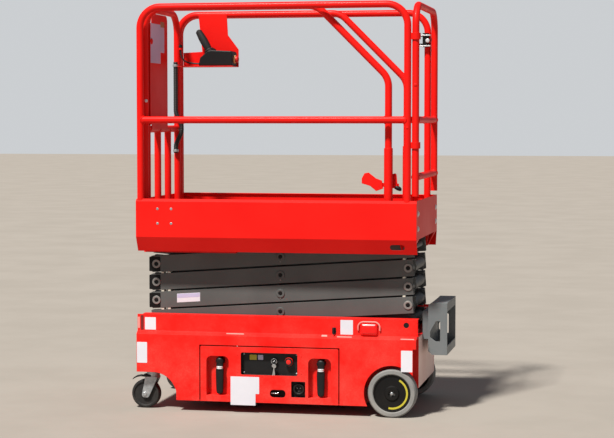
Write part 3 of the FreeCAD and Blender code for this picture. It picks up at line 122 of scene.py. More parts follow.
def spread(tree, value, low, high, to_low=0.0, to_high=1.0):
    sockets = {"Value": value, "From Min": low, "From Max": high, "To Min": to_low, "To Max": to_high}
    return add_node(tree, "MapRange", sockets, interpolation_type="SMOOTHSTEP").outputs[0]


def rest_place(tree):
    """Where a point sits on the part at rest, so a finish moves with its part."""
    return add_node(tree, "TexCoord").outputs["Object"]


def noise(tree, place, scale, detail=3.0, roughness=0.5):
    sockets = {"Vector": place, "Scale": scale, "Detail": detail, "Roughness": roughness}
    return add_node(tree, "TexNoise", sockets).outputs[0]


print("shader helpers ready")

# %% [markdown]
# Effects that many finishes share
#
# Sheet metal never ends in a knife edge: paint rounds it, thins there and catches the light. Every
# surface also has a fine grain, broad changes of tone, and dust that gathers near the ground and on
# top. Each effect is one node group with named sockets, so a finish only chooses its values.

# %% Node groups for edges, grain and dust


def start_group(name, inputs, outputs):
    group = bpy.data.node_groups.new(name, "ShaderNodeTree")
    for title, value in inputs:
        socket = group.interface.new_socket(name=title, in_out="INPUT", socket_type="NodeSocketFloat")
        socket.default_value = value
    for title, kind in outputs:
        group.interface.new_socket(name=title, in_out="OUTPUT", socket_type=kind)
    return group, group.nodes.new("NodeGroupInput").outputs, group.nodes.new("NodeGroupOutput").inputs


def make_edge_group():
    """Rounds hard edges in the normal, and marks where they wear."""
    outputs = [("Wear", "NodeSocketFloat"), ("Normal", "NodeSocketVector")]
    group, given, result = start_group("soft_edges", [("Width", 0.002), ("Chips", 60.0)], outputs)
    rounded = add_node(group, "Bevel", {"Radius": given["Width"]}, samples=6).outputs[0]
    flat = add_node(group, "NewGeometry").outputs["Normal"]
    match = add_node(group, "VectorMath", {0: rounded, 1: flat}, operation="DOT_PRODUCT").outputs["Value"]
    bend = spread(group, sums(group, "SUBTRACT", 1.0, match), 0.01, 0.16)
    chips = spread(group, noise(group, rest_place(group), given["Chips"], 6.0, 0.7), 0.42, 0.62)
    group.links.new(sums(group, "MULTIPLY", bend, chips), result["Wear"])
    group.links.new(rounded, result["Normal"])
    return group


def make_grain_group():
    """Fine grain as a height, and broad patches of tone."""
    outputs = [("Height", "NodeSocketFloat"), ("Patch", "NodeSocketFloat")]
    group, given, result = start_group("surface_grain", [("Fine", 400.0), ("Broad", 3.0)], outputs)
    place = rest_place(group)
    group.links.new(noise(group, place, given["Fine"], 2.0), result["Height"])
    broad = noise(group, place, given["Broad"], 4.0, 0.6)
    group.links.new(spread(group, broad, 0.3, 0.7), result["Patch"])
    return group


def make_dust_group():
    """Dust near the ground and on faces that look up, in uneven clouds."""
    inputs = [("Ground", 0.0), ("Clean above", 0.5), ("On top", 0.3)]
    group, given, result = start_group("settled_dust", inputs, [("Mask", "NodeSocketFloat")])
    place = rest_place(group)
    height = add_node(group, "SeparateXYZ", {0: place}).outputs["Z"]
    low = sums(group, "SUBTRACT", 1.0, spread(group, height, given["Ground"], given["Clean above"]))
    normal = add_node(group, "NewGeometry").outputs["Normal"]
    upward = spread(group, add_node(group, "SeparateXYZ", {0: normal}).outputs["Z"], 0.5, 1.0)
    both = sums(group, "MAXIMUM", low, sums(group, "MULTIPLY", upward, given["On top"]))
    clouds = spread(group, noise(group, place, 7.0, 8.0, 0.65), 0.3, 0.75)
    speckle = spread(group, noise(group, place, 160.0, 3.0, 0.6), 0.35, 0.75, 0.5, 1.0)
    mask = sums(group, "MULTIPLY", both, sums(group, "MULTIPLY", clouds, speckle))
    group.links.new(mask, result["Mask"])
    return group


EDGES, GRAIN, DUST = make_edge_group(), make_grain_group(), make_dust_group()
print("node groups:", [group.name for group in (EDGES, GRAIN, DUST)])

# %% [markdown]
# One recipe for hard surfaces
#
# Paint, plastic, rubber and zinc differ in colour and gloss, but they are built alike: two tones of
# one colour in broad patches, a worn colour on the edges, dust over both, and a fine bump. One
# function writes that recipe, and each finish is a short call with its own numbers.

# %% The recipe
STONE_DUST = linear(196, 184, 165)


def group_node(tree, group, **values):
    made = add_node(tree, "Group", node_tree=group)
    for title, value in values.items():
        made.inputs[title.replace("_", " ")].default_value = value
    return made.outputs


def finish(name, colour, deep, roughness, worn=None, wear=0.0, dust=0.0, clean_above=0.5, on_top=0.3,
           metallic=0.0, fine=400.0, bump=0.1, broad=3.0, edge=0.0015, coat=0.0, chips=60.0, shine=0.5):
    material = bpy.data.materials.new(name)
    material.use_nodes = True
    tree = material.node_tree
    shader = tree.nodes["Principled BSDF"]
    edges = group_node(tree, EDGES, Width=edge, Chips=chips)
    grain = group_node(tree, GRAIN, Fine=fine, Broad=broad)
    dirt = group_node(tree, DUST, Clean_above=clean_above, On_top=on_top)
    tone = blend_colours(tree, grain["Patch"], linear(*deep), linear(*colour))
    tone = blend_colours(tree, sums(tree, "MULTIPLY", edges["Wear"], wear), tone, linear(*(worn or colour)))
    dusted = sums(tree, "MULTIPLY", dirt["Mask"], dust)
    tone = blend_colours(tree, dusted, tone, STONE_DUST)
    tree.links.new(tone, shader.inputs["Base Color"])
    gloss = spread(tree, grain["Patch"], 0.0, 1.0, roughness + 0.06, roughness)
    gloss = sums(tree, "ADD", gloss, sums(tree, "MULTIPLY", dusted, 0.5))
    tree.links.new(gloss, shader.inputs["Roughness"])
    sockets = {"Strength": bump, "Distance": 0.001, "Height": grain["Height"], "Normal": edges["Normal"]}
    tree.links.new(add_node(tree, "Bump", sockets).outputs[0], shader.inputs["Normal"])
    shader.inputs["Metallic"].default_value = metallic
    shader.inputs["Specular IOR Level"].default_value = shine
    shader.inputs["Coat Weight"].default_value = coat
    shader.inputs["Coat Roughness"].default_value = 0.12
    return material


print("recipe ready")

# %% [markdown]
# Paint, metal, rubber and plastic
#
# The machine is sprayed in one bright red. Its arms are dark grey, its step a lighter grey. Wheels
# are non-marking grey rubber on black hubs, and the casters are black with zinc forks.

# %% The finishes
RED = finish("red_paint", (232, 27, 20), (224, 20, 14), 0.42, worn=(246, 90, 82), wear=0.45, dust=0.16,
             clean_above=0.7, on_top=0.05, fine=700, bump=0.04, coat=0.03, shine=0.14)
# Dust up to 0.9 m makes the lower arms a little lighter: partly dust, partly painted light on the lowest arm.
ARM_GREY = finish("arm_paint", (88, 90, 89), (78, 80, 79), 0.5, worn=(140, 140, 138), wear=0.35,
                  dust=0.05, clean_above=0.9, on_top=0.3, fine=600, bump=0.08, shine=0.4)
STEP_GREY = finish("step_paint", (114, 119, 121), (103, 109, 111), 0.45, worn=(182, 184, 184), wear=0.6,
                   dust=0.12, clean_above=0.6, on_top=0.5, fine=500, bump=0.12)
GREY_RUBBER = finish("grey_rubber", (140, 140, 138), (120, 120, 118), 0.8, worn=(120, 118, 112), wear=0.35,
                     dust=0.3, clean_above=0.2, on_top=0.1, fine=900, bump=0.35, broad=9, edge=0.004)
BLACK_RUBBER = finish("black_tread", (20, 18, 19), (13, 12, 13), 0.6, worn=(80, 76, 72), wear=0.4,
                      dust=0.16, clean_above=0.14, on_top=0.05, fine=900, bump=0.3, broad=12, edge=0.003)
HUB_BLACK = finish("hub_black", (13, 12, 12), (9, 8, 8), 0.55, worn=(54, 52, 50), wear=0.3,
                   dust=0.03, clean_above=0.25, on_top=0.1, fine=350, bump=0.3, shine=0.22)
ZINC = finish("zinc_plate", (190, 194, 196), (150, 155, 158), 0.42, worn=(220, 220, 218), wear=0.4,
              dust=0.15, clean_above=0.2, metallic=0.7, fine=220, bump=0.12, broad=40)
PLASTIC = finish("black_plastic", (15, 17, 19), (10, 11, 13), 0.42, worn=(54, 56, 58), wear=0.3,
                 dust=0.03, clean_above=0.4, on_top=0.1, fine=1200, bump=0.25, shine=0.35)
CHROME = finish("chrome_rod", (214, 216, 218), (196, 199, 202), 0.16, metallic=1.0, fine=900, bump=0.02,
                dust=0.03)
CAST_IRON = finish("motor_iron", (50, 52, 54), (36, 38, 40), 0.6, worn=(110, 108, 104), wear=0.4,
                   dust=0.25, clean_above=0.4, fine=180, bump=0.5)
NYLON = finish("nylon", (212, 208, 194), (190, 185, 170), 0.5, fine=500, bump=0.1, dust=0.1)
BATTERY = finish("battery_case", (66, 70, 76), (54, 57, 62), 0.5, fine=700, bump=0.25, dust=0.2,
                 clean_above=0.6, on_top=0.5)
WHITE_VINYL = finish("white_vinyl", (222, 221, 228), (210, 210, 219), 0.4, fine=900, bump=0.04,
                     dust=0.1, clean_above=0.3, edge=0.0004)
YELLOW = finish("yellow_ink", (196, 184, 52), (174, 162, 44), 0.5, fine=600, bump=0.1, edge=0.0005)
SIGNAL_RED = finish("signal_red", (222, 34, 26), (200, 26, 20), 0.34, worn=(255, 120, 110), wear=0.2,
                    fine=900, bump=0.05)
CABLE = finish("cable_black", (24, 24, 25), (16, 16, 17), 0.5, fine=600, bump=0.2, dust=0.08, on_top=0.3)
LABEL_GREY = finish("label_grey", (196, 190, 220), (180, 175, 206), 0.4, fine=900, bump=0.04, edge=0.0004)
# Pale pink for the entry end plate: partly dust, partly a painted reflection of the floor and sky on its glossy face.
RED_DUST_AND_SHEEN = finish("dusty_red_painted_sheen", (250, 214, 206), (236, 192, 183), 0.45, worn=(226, 180, 170), wear=0.5,
                   dust=0.35, clean_above=0.5, on_top=0.4, fine=500, bump=0.1)
# Near-white metal: its pale base colour is a painted glint for the sun's reflection on chrome and bright zinc.
GLINT_METAL = finish("polished_metal_painted_glint", (238, 238, 240), (214, 216, 220), 0.28, metallic=0.35, fine=700,
                  bump=0.05, dust=0.05)
PIN_STEEL = finish("pin_steel", (146, 144, 140), (112, 110, 108), 0.45, worn=(190, 188, 184), wear=0.4,
                   metallic=0.3, fine=300, bump=0.15, dust=0.1, clean_above=0.6)
print("finishes:", len(bpy.data.materials))

# %% [markdown]
# A lens that glows from inside
#
# The lamp on the band is moulded red plastic over a dark bowl. Real light goes into such a lens and
# comes back out deeper in colour. Some subsurface scattering under a clear, smooth coat gives that.

# %% Lamp lens


def make_lens():
    material = bpy.data.materials.new("red_lens")
    material.use_nodes = True
    tree = material.node_tree
    shader = tree.nodes["Principled BSDF"]
    height = add_node(tree, "SeparateXYZ", {0: rest_place(tree)}).outputs["Z"]
    ribs = add_node(tree, "Math", {0: sums(tree, "MULTIPLY", height, 900.0)}, operation="SINE").outputs[0]
    glow = blend_colours(tree, spread(tree, ribs, -1.0, 1.0), linear(232, 6, 6), linear(250, 14, 12))
    tree.links.new(glow, shader.inputs["Base Color"])
    shader.inputs["Roughness"].default_value = 0.34
    shader.inputs["Subsurface Weight"].default_value = 0.3
    shader.inputs["Subsurface Scale"].default_value = 0.01
    shader.inputs["Coat Weight"].default_value = 0.06
    bumps = add_node(tree, "Bump", {"Strength": 0.2, "Distance": 0.001, "Height": ribs})
    tree.links.new(bumps.outputs[0], shader.inputs["Normal"])
    return material


LENS = make_lens()
print("lens:", LENS.name)

# %% [markdown]
# Give each CAD node its finish
#
# A node's shape is already right, so it only needs a material in its slot. Names tell what a node is
# made of: a short table of name beginnings picks the finish, and red paint is what is left.

# %% Finishes on the CAD nodes
NODE_FINISHES = [
    ("outer_arms", ARM_GREY), ("inner_arms", ARM_GREY), ("entry_step", STEP_GREY),
    ("drive_tyre", GREY_RUBBER), ("drive_hub", HUB_BLACK), ("drive_motors", CAST_IRON),
    ("caster_wheel", BLACK_RUBBER), ("caster_", ZINC), ("caster_bay", RED), ("base_rollers", NYLON),
    ("deck_rollers", NYLON), ("ram_tube", HUB_BLACK), ("ram_rod", CHROME), ("ram_mount", ARM_GREY),
    ("latches", PLASTIC), ("ground_controls", PLASTIC), ("control_box", PLASTIC), ("batteries", BATTERY),
    ("pump_unit", CAST_IRON), ("side_lamps", LENS), ("gate_latch", HUB_BLACK), ("conduit", CABLE),
    ("control_cord", CABLE), ("entry_end_plate", RED_DUST_AND_SHEEN),
]


def finish_for(name):
    matches = [(len(start), look) for start, look in NODE_FINISHES if name.startswith(start)]
    return max(matches, key=lambda match: match[0])[1] if matches else RED


for name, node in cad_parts.items():
    node.data.materials.clear()
    node.data.materials.append(finish_for(name))
    node.data.set_sharp_from_angle(angle=math.radians(30))
print("finished nodes:", len(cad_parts))

# %% [markdown]
# Shapes from a few mesh tools
#
# Every fitting below comes from four ways of making a solid: turning a profile about an axis,
# pushing an outline along an axis, running a tube along a line, and laying a weld bead where two
# tubes meet. Each tool adds to a bmesh, so that many like things can share one mesh.

# %% Turned shapes


def facing(direction):
    """A rotation that stands the Z axis along a direction."""
    return Vector(direction).to_track_quat("Z", "Y").to_matrix().to_4x4()


def turned(mesh, profile, spot, direction, steps=32):
    """Turn (radius, height) points about an axis through a spot."""
    stand = Matrix.Translation(spot) @ facing(direction)
    rings = []
    for radius, height in profile:
        turn = [2 * math.pi * step / steps for step in range(steps)]
        rings.append([mesh.verts.new(stand @ Vector((radius * math.cos(a), radius * math.sin(a), height)))
                      for a in turn])
    for low, high in zip(rings, rings[1:]):
        for step in range(steps):
            after = (step + 1) % steps
            mesh.faces.new((low[step], low[after], high[after], high[step]))
    mesh.faces.new(list(reversed(rings[0])))
    mesh.faces.new(rings[-1])


def ring_shape(mesh, profile, spot, direction, steps=48):
    """Turn a closed (radius, height) profile, such as a washer's section, about an axis."""
    stand = Matrix.Translation(spot) @ facing(direction)
    rows = []
    for step in range(steps):
        a = 2 * math.pi * step / steps
        rows.append([mesh.verts.new(stand @ Vector((radius * math.cos(a), radius * math.sin(a), height)))
                     for radius, height in profile])
    for step, row in enumerate(rows):
        ahead = rows[(step + 1) % steps]
        for corner in range(len(profile)):
            after = (corner + 1) % len(profile)
            mesh.faces.new((row[corner], ahead[corner], ahead[after], row[after]))


print("turning tools ready")

# %% Outlines, tubes and beads


def rounded(low, high, radius, steps=5):
    """A rectangle between two corners, with round corners."""
    points = []
    corners = [(high[0] - radius, high[1] - radius, 0), (low[0] + radius, high[1] - radius, 90),
               (low[0] + radius, low[1] + radius, 180), (high[0] - radius, low[1] + radius, 270)]
    for x, y, start in corners:
        for step in range(steps + 1):
            a = math.radians(start + 90 * step / steps)
            points.append((x + radius * math.cos(a), y + radius * math.sin(a)))
    return points


PLANES = {"x": lambda a, b, c: (c, a, b), "y": lambda a, b, c: (a, c, b), "z": lambda a, b, c: (a, b, c)}


def pushed(mesh, outline, axis, low, high):
    """Push an outline along an axis. The outline is in the other two axes, in the order X, Y, Z."""
    at = PLANES[axis]
    bottom = [mesh.verts.new(at(a, b, low)) for a, b in outline]
    top = [mesh.verts.new(at(a, b, high)) for a, b in outline]
    mesh.faces.new(bottom)
    mesh.faces.new(list(reversed(top)))
    for step in range(len(outline)):
        after = (step + 1) % len(outline)
        mesh.faces.new((bottom[after], bottom[step], top[step], top[after]))


def tube(mesh, line, radius, steps=12, closed=False):
    """A round tube along a line of points; radius may be a list, one for each point."""
    count = len(line)
    radii = radius if isinstance(radius, list) else [radius] * count
    side = None
    rings = []
    for step, point in enumerate(line):
        before = line[step - 1] if closed or step else point
        after = line[(step + 1) % count] if closed or step < count - 1 else point
        along = (after - before).normalized()
        if side is None:
            side = along.orthogonal().normalized()
        side = (side - along * side.dot(along)).normalized()
        up = along.cross(side)
        turn = [2 * math.pi * corner / steps for corner in range(steps)]
        rings.append([mesh.verts.new(point + radii[step] * (side * math.cos(a) + up * math.sin(a)))
                      for a in turn])
    pairs = list(zip(rings, rings[1:])) + ([(rings[-1], rings[0])] if closed else [])
    for first, second in pairs:
        shift = 0
        if closed and second is rings[0]:
            shift = min(range(steps), key=lambda s: (second[s].co - first[0].co).length)
        for corner in range(steps):
            after = (corner + 1) % steps
            mesh.faces.new((first[corner], first[after],
                            second[(after + shift) % steps], second[(corner + shift) % steps]))
    if not closed:
        mesh.faces.new(list(reversed(rings[0])))
        mesh.faces.new(rings[-1])


def weld(mesh, spot, branch, main, branch_radius, main_radius, bead=0.0035, steps=56):
    """A rippled bead where a branch tube, pointing away from a main tube, meets it."""
    branch, main = Vector(branch).normalized(), Vector(main).normalized()
    across = main.cross(branch)
    line, radii = [], []
    for step in range(steps):
        a = 2 * math.pi * step / steps
        side = branch_radius * math.cos(a)
        reach = math.sqrt(max(main_radius ** 2 - side ** 2, (0.3 * main_radius) ** 2))
        line.append(spot + across * side + main * branch_radius * math.sin(a) + branch * reach)
        radii.append(bead * (1 + 0.14 * (step % 2)))
    tube(mesh, line, radii, 8, closed=True)


print("outline, tube and bead tools ready")

# %% [markdown]
# From a bmesh to a piece that rides
#
# A finished bmesh turns into an object, gets its finish, and rides on a CAD body by name. Riding is
# what makes a fitting follow the arms, the deck or a drawer when the machine moves. A small bevel
# modifier rounds what the tools leave sharp.

# %% Make a piece
made_pieces = []


def piece(name, mesh, body, look, bevel=0.0, replaces=()):
    bmesh.ops.recalc_face_normals(mesh, faces=mesh.faces[:])
    data = bpy.data.meshes.new(name)
    mesh.to_mesh(data)
    mesh.free()
    data.materials.append(look)
    for face in data.polygons:
        face.use_smooth = True
    data.set_sharp_from_angle(angle=math.radians(38))
    made = bpy.data.objects.new(name, data)
    scene.collection.objects.link(made)
    if bevel:
        rim = made.modifiers.new("rim", "BEVEL")
        rim.width = bevel
        rim.segments = 2
        rim.limit_method = "ANGLE"
        rim.harden_normals = True
    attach(made, body)
    if replaces:
        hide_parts(*replaces)
    made_pieces.append(made)
    return made


print("piece maker ready")

# %% [markdown]
# Places taken from the frame
#
# Fittings sit on CAD faces, so their places come from the nodes' boxes. If a panel moves in the CAD,
# its bolts and plates move with it.

# %% Faces and edges to build on
deck_low, deck_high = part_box("deck_shell")
drawer_low, drawer_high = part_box("drawer_near")
track_low, track_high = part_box("base_tracks")
step_low, step_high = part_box("entry_step")
wheel_low, wheel_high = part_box("drive_tyre_near")
NEAR_FACE = deck_low.y
BAND_FACE = NEAR_FACE + 20 * MM
ARM_FACE = -230 * MM
RAIL = 16.85 * MM
drawer_left = drawer_low.x
print("near face at", round(NEAR_FACE, 3), "drawer from", round(drawer_left, 3))

# %% [markdown]
# Bolts
#
# A bolt head is a hexagon with its corners turned off, on a flat washer. The turning tool makes both:
# six steps give the hexagon, and a profile that narrows at the top gives the chamfer. All bolts of
# one body share one mesh.

# %% Bolt heads


def bolt(mesh, spot, direction, width=13 * MM):
    radius = width / math.sqrt(3)
    washer = [(radius * 1.5, 0), (radius * 1.5, 0.8 * MM), (radius * 1.35, 1.2 * MM)]
    head = [(radius, 1.0 * MM), (radius, 1.0 * MM + radius * 0.34), (radius * 0.86, 1.0 * MM + radius * 0.46)]
    turned(mesh, washer, spot, direction, 28)
    turned(mesh, head, spot, direction, 6)


def bolts(name, body, look, spots, direction, width=13 * MM, mirror=False):
    mesh = bmesh.new()
    for spot in spots:
        bolt(mesh, Vector(spot), direction, width)
        if mirror:
            flip = Vector((1, -1, 1))
            bolt(mesh, Vector(spot) * flip, Vector(direction) * flip, width)
    return piece(name, mesh, body, look)


SUNK = 3 * MM
DECK_BOLTS = [(x, NEAR_FACE + SUNK, z) for x in (-0.6126, -0.5448) for z in (0.9058, 0.976)]
bolts("deck_side_bolts", "deck", ZINC, DECK_BOLTS, (0, -1, 0), 12 * MM, mirror=True)
ENTRY_BOLTS = [(deck_high.x, -0.329, z) for z in (0.891, 0.962)]
# The entry bolts' near-white heads carry a painted glint.
bolts("deck_entry_bolts", "deck", GLINT_METAL, ENTRY_BOLTS, (1, 0, 0), 17 * MM, mirror=True)
CONTROL_BOLTS = [(drawer_left + x, NEAR_FACE + 2 * MM, z) for x in (0.1825, 0.4945) for z in (0.199, 0.281)]
bolts("control_panel_bolts", "drawer_near", RED, CONTROL_BOLTS, (0, -1, 0), 8 * MM)
print("bolts:", len(DECK_BOLTS) * 2 + len(ENTRY_BOLTS) * 2 + len(CONTROL_BOLTS))

# %% [markdown]
# Plain plates
#
# The real machine carries printed stickers. Here they are blank vinyl: thin rounded plates that stand
# a third of a millimetre off the paint, so that their edges still catch the light.

# %% Blank vinyl plates
VINYL = 0.35 * MM


def vinyl(name, body, outline, axis, face, out, look=None):
    mesh = bmesh.new()
    low, high = sorted((face, face + out * VINYL))
    pushed(mesh, outline, axis, low, high)
    return piece(name, mesh, body, look or WHITE_VINYL)


def notched(low, high, notch):
    """A plate whose lower right corner is cut out."""
    return [(low[0], low[1]), (high[0] - notch[0], low[1]), (high[0] - notch[0], low[1] + notch[1]),
            (high[0], low[1] + notch[1]), (high[0], high[1]), (low[0], high[1])]


BAND_PLATES = [("left", -0.6840, -0.6290, 0.389, 0.449), ("right", 0.2790, 0.3390, 0.388, 0.457)]
for word, x_low, x_high, z_low, z_high in BAND_PLATES:
    vinyl(f"band_plate_{word}", "base", rounded((x_low, z_low), (x_high, z_high), 2 * MM), "y", BAND_FACE, -1)
SIDE_PLATES = [("left", -0.7190, -0.6680, 0.229, 0.330), ("right", 0.5720, 0.6255, 0.220, 0.321)]
for word, x_low, x_high, z_low, z_high in SIDE_PLATES:
    outline = rounded((x_low, z_low), (x_high, z_high), 3 * MM)
    vinyl(f"side_plate_label_{word}", "base", outline, "y", NEAR_FACE, -1)
    vinyl(f"far_plate_label_{word}", "base", outline, "y", -NEAR_FACE, 1)
sheet_outline = notched((drawer_left + 0.1495, 0.0380), (drawer_left + 0.2900, 0.1755), (0.018, 0.0560))
vinyl("drawer_sheet", "drawer_near", sheet_outline, "y", NEAR_FACE, -1)
print("plates:", len(BAND_PLATES) + 2 * len(SIDE_PLATES) + 1)

# %% [markdown]
# Lofts, ovals and arcs
#
# A grip, a knob or a lens changes its section along its length. Such a shape is lofted: rings of
# points are laid one after the other and skinned. Bent bars need points on an arc, and a last helper
# gives those.

# %% Loft tools


def loft(mesh, rings):
    """Skin a row of rings that have the same number of points, and close both ends."""
    rows = [[mesh.verts.new(point) for point in ring] for ring in rings]
    for low, high in zip(rows, rows[1:]):
        for step in range(len(low)):
            after = (step + 1) % len(low)
            mesh.faces.new((low[step], low[after], high[after], high[step]))
    mesh.faces.new(list(reversed(rows[0])))
    mesh.faces.new(rows[-1])


def oval(centre, wide, deep, first=X_AXIS, second=Y_AXIS, steps=24, power=2.4):
    """A ring of points; a power above 2 squares the oval."""
    ring = []
    for step in range(steps):
        a = 2 * math.pi * step / steps
        across = math.copysign(abs(math.cos(a)) ** (2 / power), math.cos(a)) * wide
        along = math.copysign(abs(math.sin(a)) ** (2 / power), math.sin(a)) * deep
        ring.append(Vector(centre) + first * across + second * along)
    return ring


def arc(centre, radius, start, end, steps=10):
    """Points on an arc in an XZ plane, with its angles in degrees from +X towards +Z."""
    turn = [math.radians(start + (end - start) * step / steps) for step in range(steps + 1)]
    return [Vector(centre) + radius * (X_AXIS * math.cos(a) + Z_AXIS * math.sin(a)) for a in turn]


def scaled(profile):
    """A profile in millimetres as metres."""
    return [(radius * MM, height * MM) for radius, height in profile]


SIDES = [("near", -1), ("far", 1)]
print("loft tools ready")

# %% [markdown]
# Latch handles
#
# Each drawer is held by two turning handles in deep recesses: a domed knob on the pivot, a chrome
# collar below it and a long black grip that widens downwards. The collar's near-white is a painted glint.
# The knob is turned, the grip is lofted from squared ovals, so that its edges stay soft.

# %% Knobs, collars and grips
LATCH_PLACES = (drawer_left + 0.093, drawer_left + 0.588)
LATCH_PIVOT = drawer_low.z + 0.194
GRIP_MIDDLE = 0.3665
KNOB = scaled([(21, 0), (21, 20), (20.4, 24), (18.8, 27.5), (15.5, 31), (10.5, 33.3), (5, 34.4), (1.5, 34.6)])
COLLAR = scaled([(13, 0), (15.5, 1.5), (15.5, 5.4), (14.8, 6.5), (15.5, 7.6), (15.5, 12.5), (13, 14)])
NECK = [(-6, 18, 6), (-20, 17, 8), (-27, 15, 8)]
GRIP = [(-35, 17.5, 8), (-44, 19.6, 9.2), (-70, 19.4, 9.4), (-110, 18.4, 9.2), (-138, 17.4, 8.8),
        (-150, 15.8, 8), (-156, 12.6, 6.5), (-159, 8, 4)]


def latch_rings(x, side, rows):
    return [oval((x, side * GRIP_MIDDLE, LATCH_PIVOT + drop * MM), wide * MM, deep * MM)
            for drop, wide, deep in rows]


for word, side in SIDES:
    knobs, collars, grips = bmesh.new(), bmesh.new(), bmesh.new()
    for x in LATCH_PLACES:
        turned(knobs, KNOB, (x, side * 0.342, LATCH_PIVOT), (0, side, 0), 40)
        loft(grips, latch_rings(x, side, NECK))
        turned(collars, COLLAR, (x, side * GRIP_MIDDLE, LATCH_PIVOT - 0.038), (0, 0, 1), 32)
        loft(grips, latch_rings(x, side, GRIP))
    piece(f"latch_grips_{word}", grips, f"drawer_{word}", PLASTIC, replaces=[f"latches_{word}"])
    piece(f"latch_knobs_{word}", knobs, f"drawer_{word}", PLASTIC)
    piece(f"latch_collars_{word}", collars, f"drawer_{word}", GLINT_METAL)
print("latch pivots at", [round(x, 3) for x in LATCH_PLACES], "height", round(LATCH_PIVOT, 3))

# %% [markdown]
# Ground controls
#
# The recess in the near drawer holds a red stop button, a key switch with its keys hanging from it,
# and a yellow plate. The button is a turned mushroom that covers the plain cylinder behind it. The
# keys are thin pushed outlines on a ring.

# %% Stop button, key switch and plates
STOP_SPOT = Vector((0.0306, -0.3585, 0.2513))
KEY_SPOT = Vector((-0.042, -0.353, 0.2513))
CONTROL_BACK = -0.353
MUSHROOM = scaled([(19.4, 0), (20.6, 2.5), (20.8, 9), (19.4, 13), (15.5, 17), (9, 19.4), (2, 20.2)])
KEY_RING = scaled([(12.1, 0), (15.8, 0), (15.8, 12), (14.4, 14.5), (12.1, 14.5)])


def key_outline(top, lean, long):
    """A key seen from the side: a round head and a narrow blade, hung from a spot and leaning."""
    points = [(2.6, -8), (3, -long), (0, -long - 3), (-3, -long), (-2.6, -8)]
    head = [(9.5 * math.cos(a), 9.5 * math.sin(a)) for a in
            [math.radians(-105 - 25 * step) for step in range(14)]]
    c, s = math.cos(math.radians(lean)), math.sin(math.radians(lean))
    return [(top[0] + (x * c - z * s) * MM, top[1] + (x * s + z * c) * MM) for x, z in points + head]


stop = bmesh.new()
turned(stop, MUSHROOM, STOP_SPOT, (0, -1, 0), 44)
piece("ground_stop", stop, "drawer_near", SIGNAL_RED)
switch = bmesh.new()
ring_shape(switch, KEY_RING, KEY_SPOT, (0, -1, 0))
pushed(switch, key_outline((-0.0415, 0.2310), 4, 44), "y", -0.3760, -0.3742)
pushed(switch, key_outline((-0.0385, 0.2295), -9, 52), "y", -0.3785, -0.3767)
tube(switch, arc((-0.041, -0.3745, 0.245), 9 * MM, 0, 340, 20), 1.1 * MM, 8)
piece("ground_key_switch", switch, "drawer_near", CHROME)
screws = bmesh.new()
for x, z in ((-0.192, 0.193), (-0.192, 0.283), (0.066, 0.193), (0.066, 0.283)):
    turned(screws, scaled([(4.4, 0), (4.4, 1.4), (3.2, 2.6), (1, 3)]), (x, CONTROL_BACK, z), (0, -1, 0), 20)
piece("control_screws", screws, "drawer_near", ZINC)
vinyl("control_plate_yellow", "drawer_near", rounded((-0.1644, 0.2544), (-0.1300, 0.2795), 1.5 * MM), "y",
      CONTROL_BACK, -1, YELLOW)
vinyl("control_plate_grey", "drawer_near", rounded((-0.1235, 0.2555), (-0.0980, 0.2790), 1.5 * MM), "y",
      CONTROL_BACK, -1, LABEL_GREY)
print("stop button stands out to", round(STOP_SPOT.y - MUSHROOM[-1][1], 4))

# %% [markdown]
# The charging inlet and the slot
#
# Behind the square hole sits a black box with a round inlet and its pins. The slot beside it is a
# hand hold: a black plate behind it paints the shade of its pocket, with a short bright bar at one end.

# %% Inlet box and slot
INLET = Vector((0.0785, -0.352, 0.121))
inlet = bmesh.new()
pushed(inlet, rounded((0.0405, 0.079), (0.1165, 0.163), 5 * MM), "y", -0.352, -0.349)
for low, high in (((0.0405, 0.079), (0.0437, 0.163)), ((0.1133, 0.079), (0.1165, 0.163)),
                  ((0.0405, 0.079), (0.1165, 0.0822)), ((0.0405, 0.1598), (0.1165, 0.163))):
    pushed(inlet, rounded(low, high, 1 * MM), "y", -0.3745, -0.351)
ring_shape(inlet, scaled([(19, 0), (28, 0), (28, 14), (26, 17), (21, 17), (19, 15)]), INLET, (0, -1, 0))
piece("charging_inlet", inlet, "drawer_near", PLASTIC, bevel=0.6 * MM)
pins = bmesh.new()
for x, z in ((-8, 5), (8, 5), (0, -9)):
    turned(pins, scaled([(2.6, 0), (2.6, 11), (1.6, 13)]), INLET + Vector((x * MM, 0, z * MM)), (0, -1, 0), 16)
tube(pins, [Vector((-0.0560, -0.366, 0.0985)), Vector((-0.0200, -0.366, 0.0985))], 4.2 * MM, 16)
piece("inlet_pins_and_bar", pins, "drawer_near", CHROME)
# Black plate behind the slot: painted shade of the pocket.
pocket = bmesh.new()
pushed(pocket, rounded((-0.063, 0.076), (0.0205, 0.1215), 4 * MM), "y", -0.3570, -0.3545)
piece("slot_pocket_shade", pocket, "drawer_near", HUB_BLACK)
print("inlet at", tuple(round(value, 3) for value in INLET))

# %% [markdown]
# Side lamps
#
# A lamp is a bowed lens with rounded corners, so it is lofted from rounded rectangles that shrink as
# they come out from the band. A bent bar guards it, and its ends turn back into the band. The bar's pale
# pink paint is a painted highlight.

# %% Lenses and hoops
# Pale pink paint. On the lamp hoops it is a painted highlight; the band's strip and the ledge's patches use it too.
PALE_PINK = finish("pale_pink_paint", (244, 150, 142), (230, 116, 110), 0.5, fine=500, bump=0.15, edge=0.0004)
LAMP_X = 0.417
BAND = 0.360
LENS_ROWS = [(0, 0), (0, 5), (1.2, 8.5), (4, 12.5), (9, 15.6), (16, 17.4), (23, 17.8)]
HOOP_OUT = BAND + 8 * MM


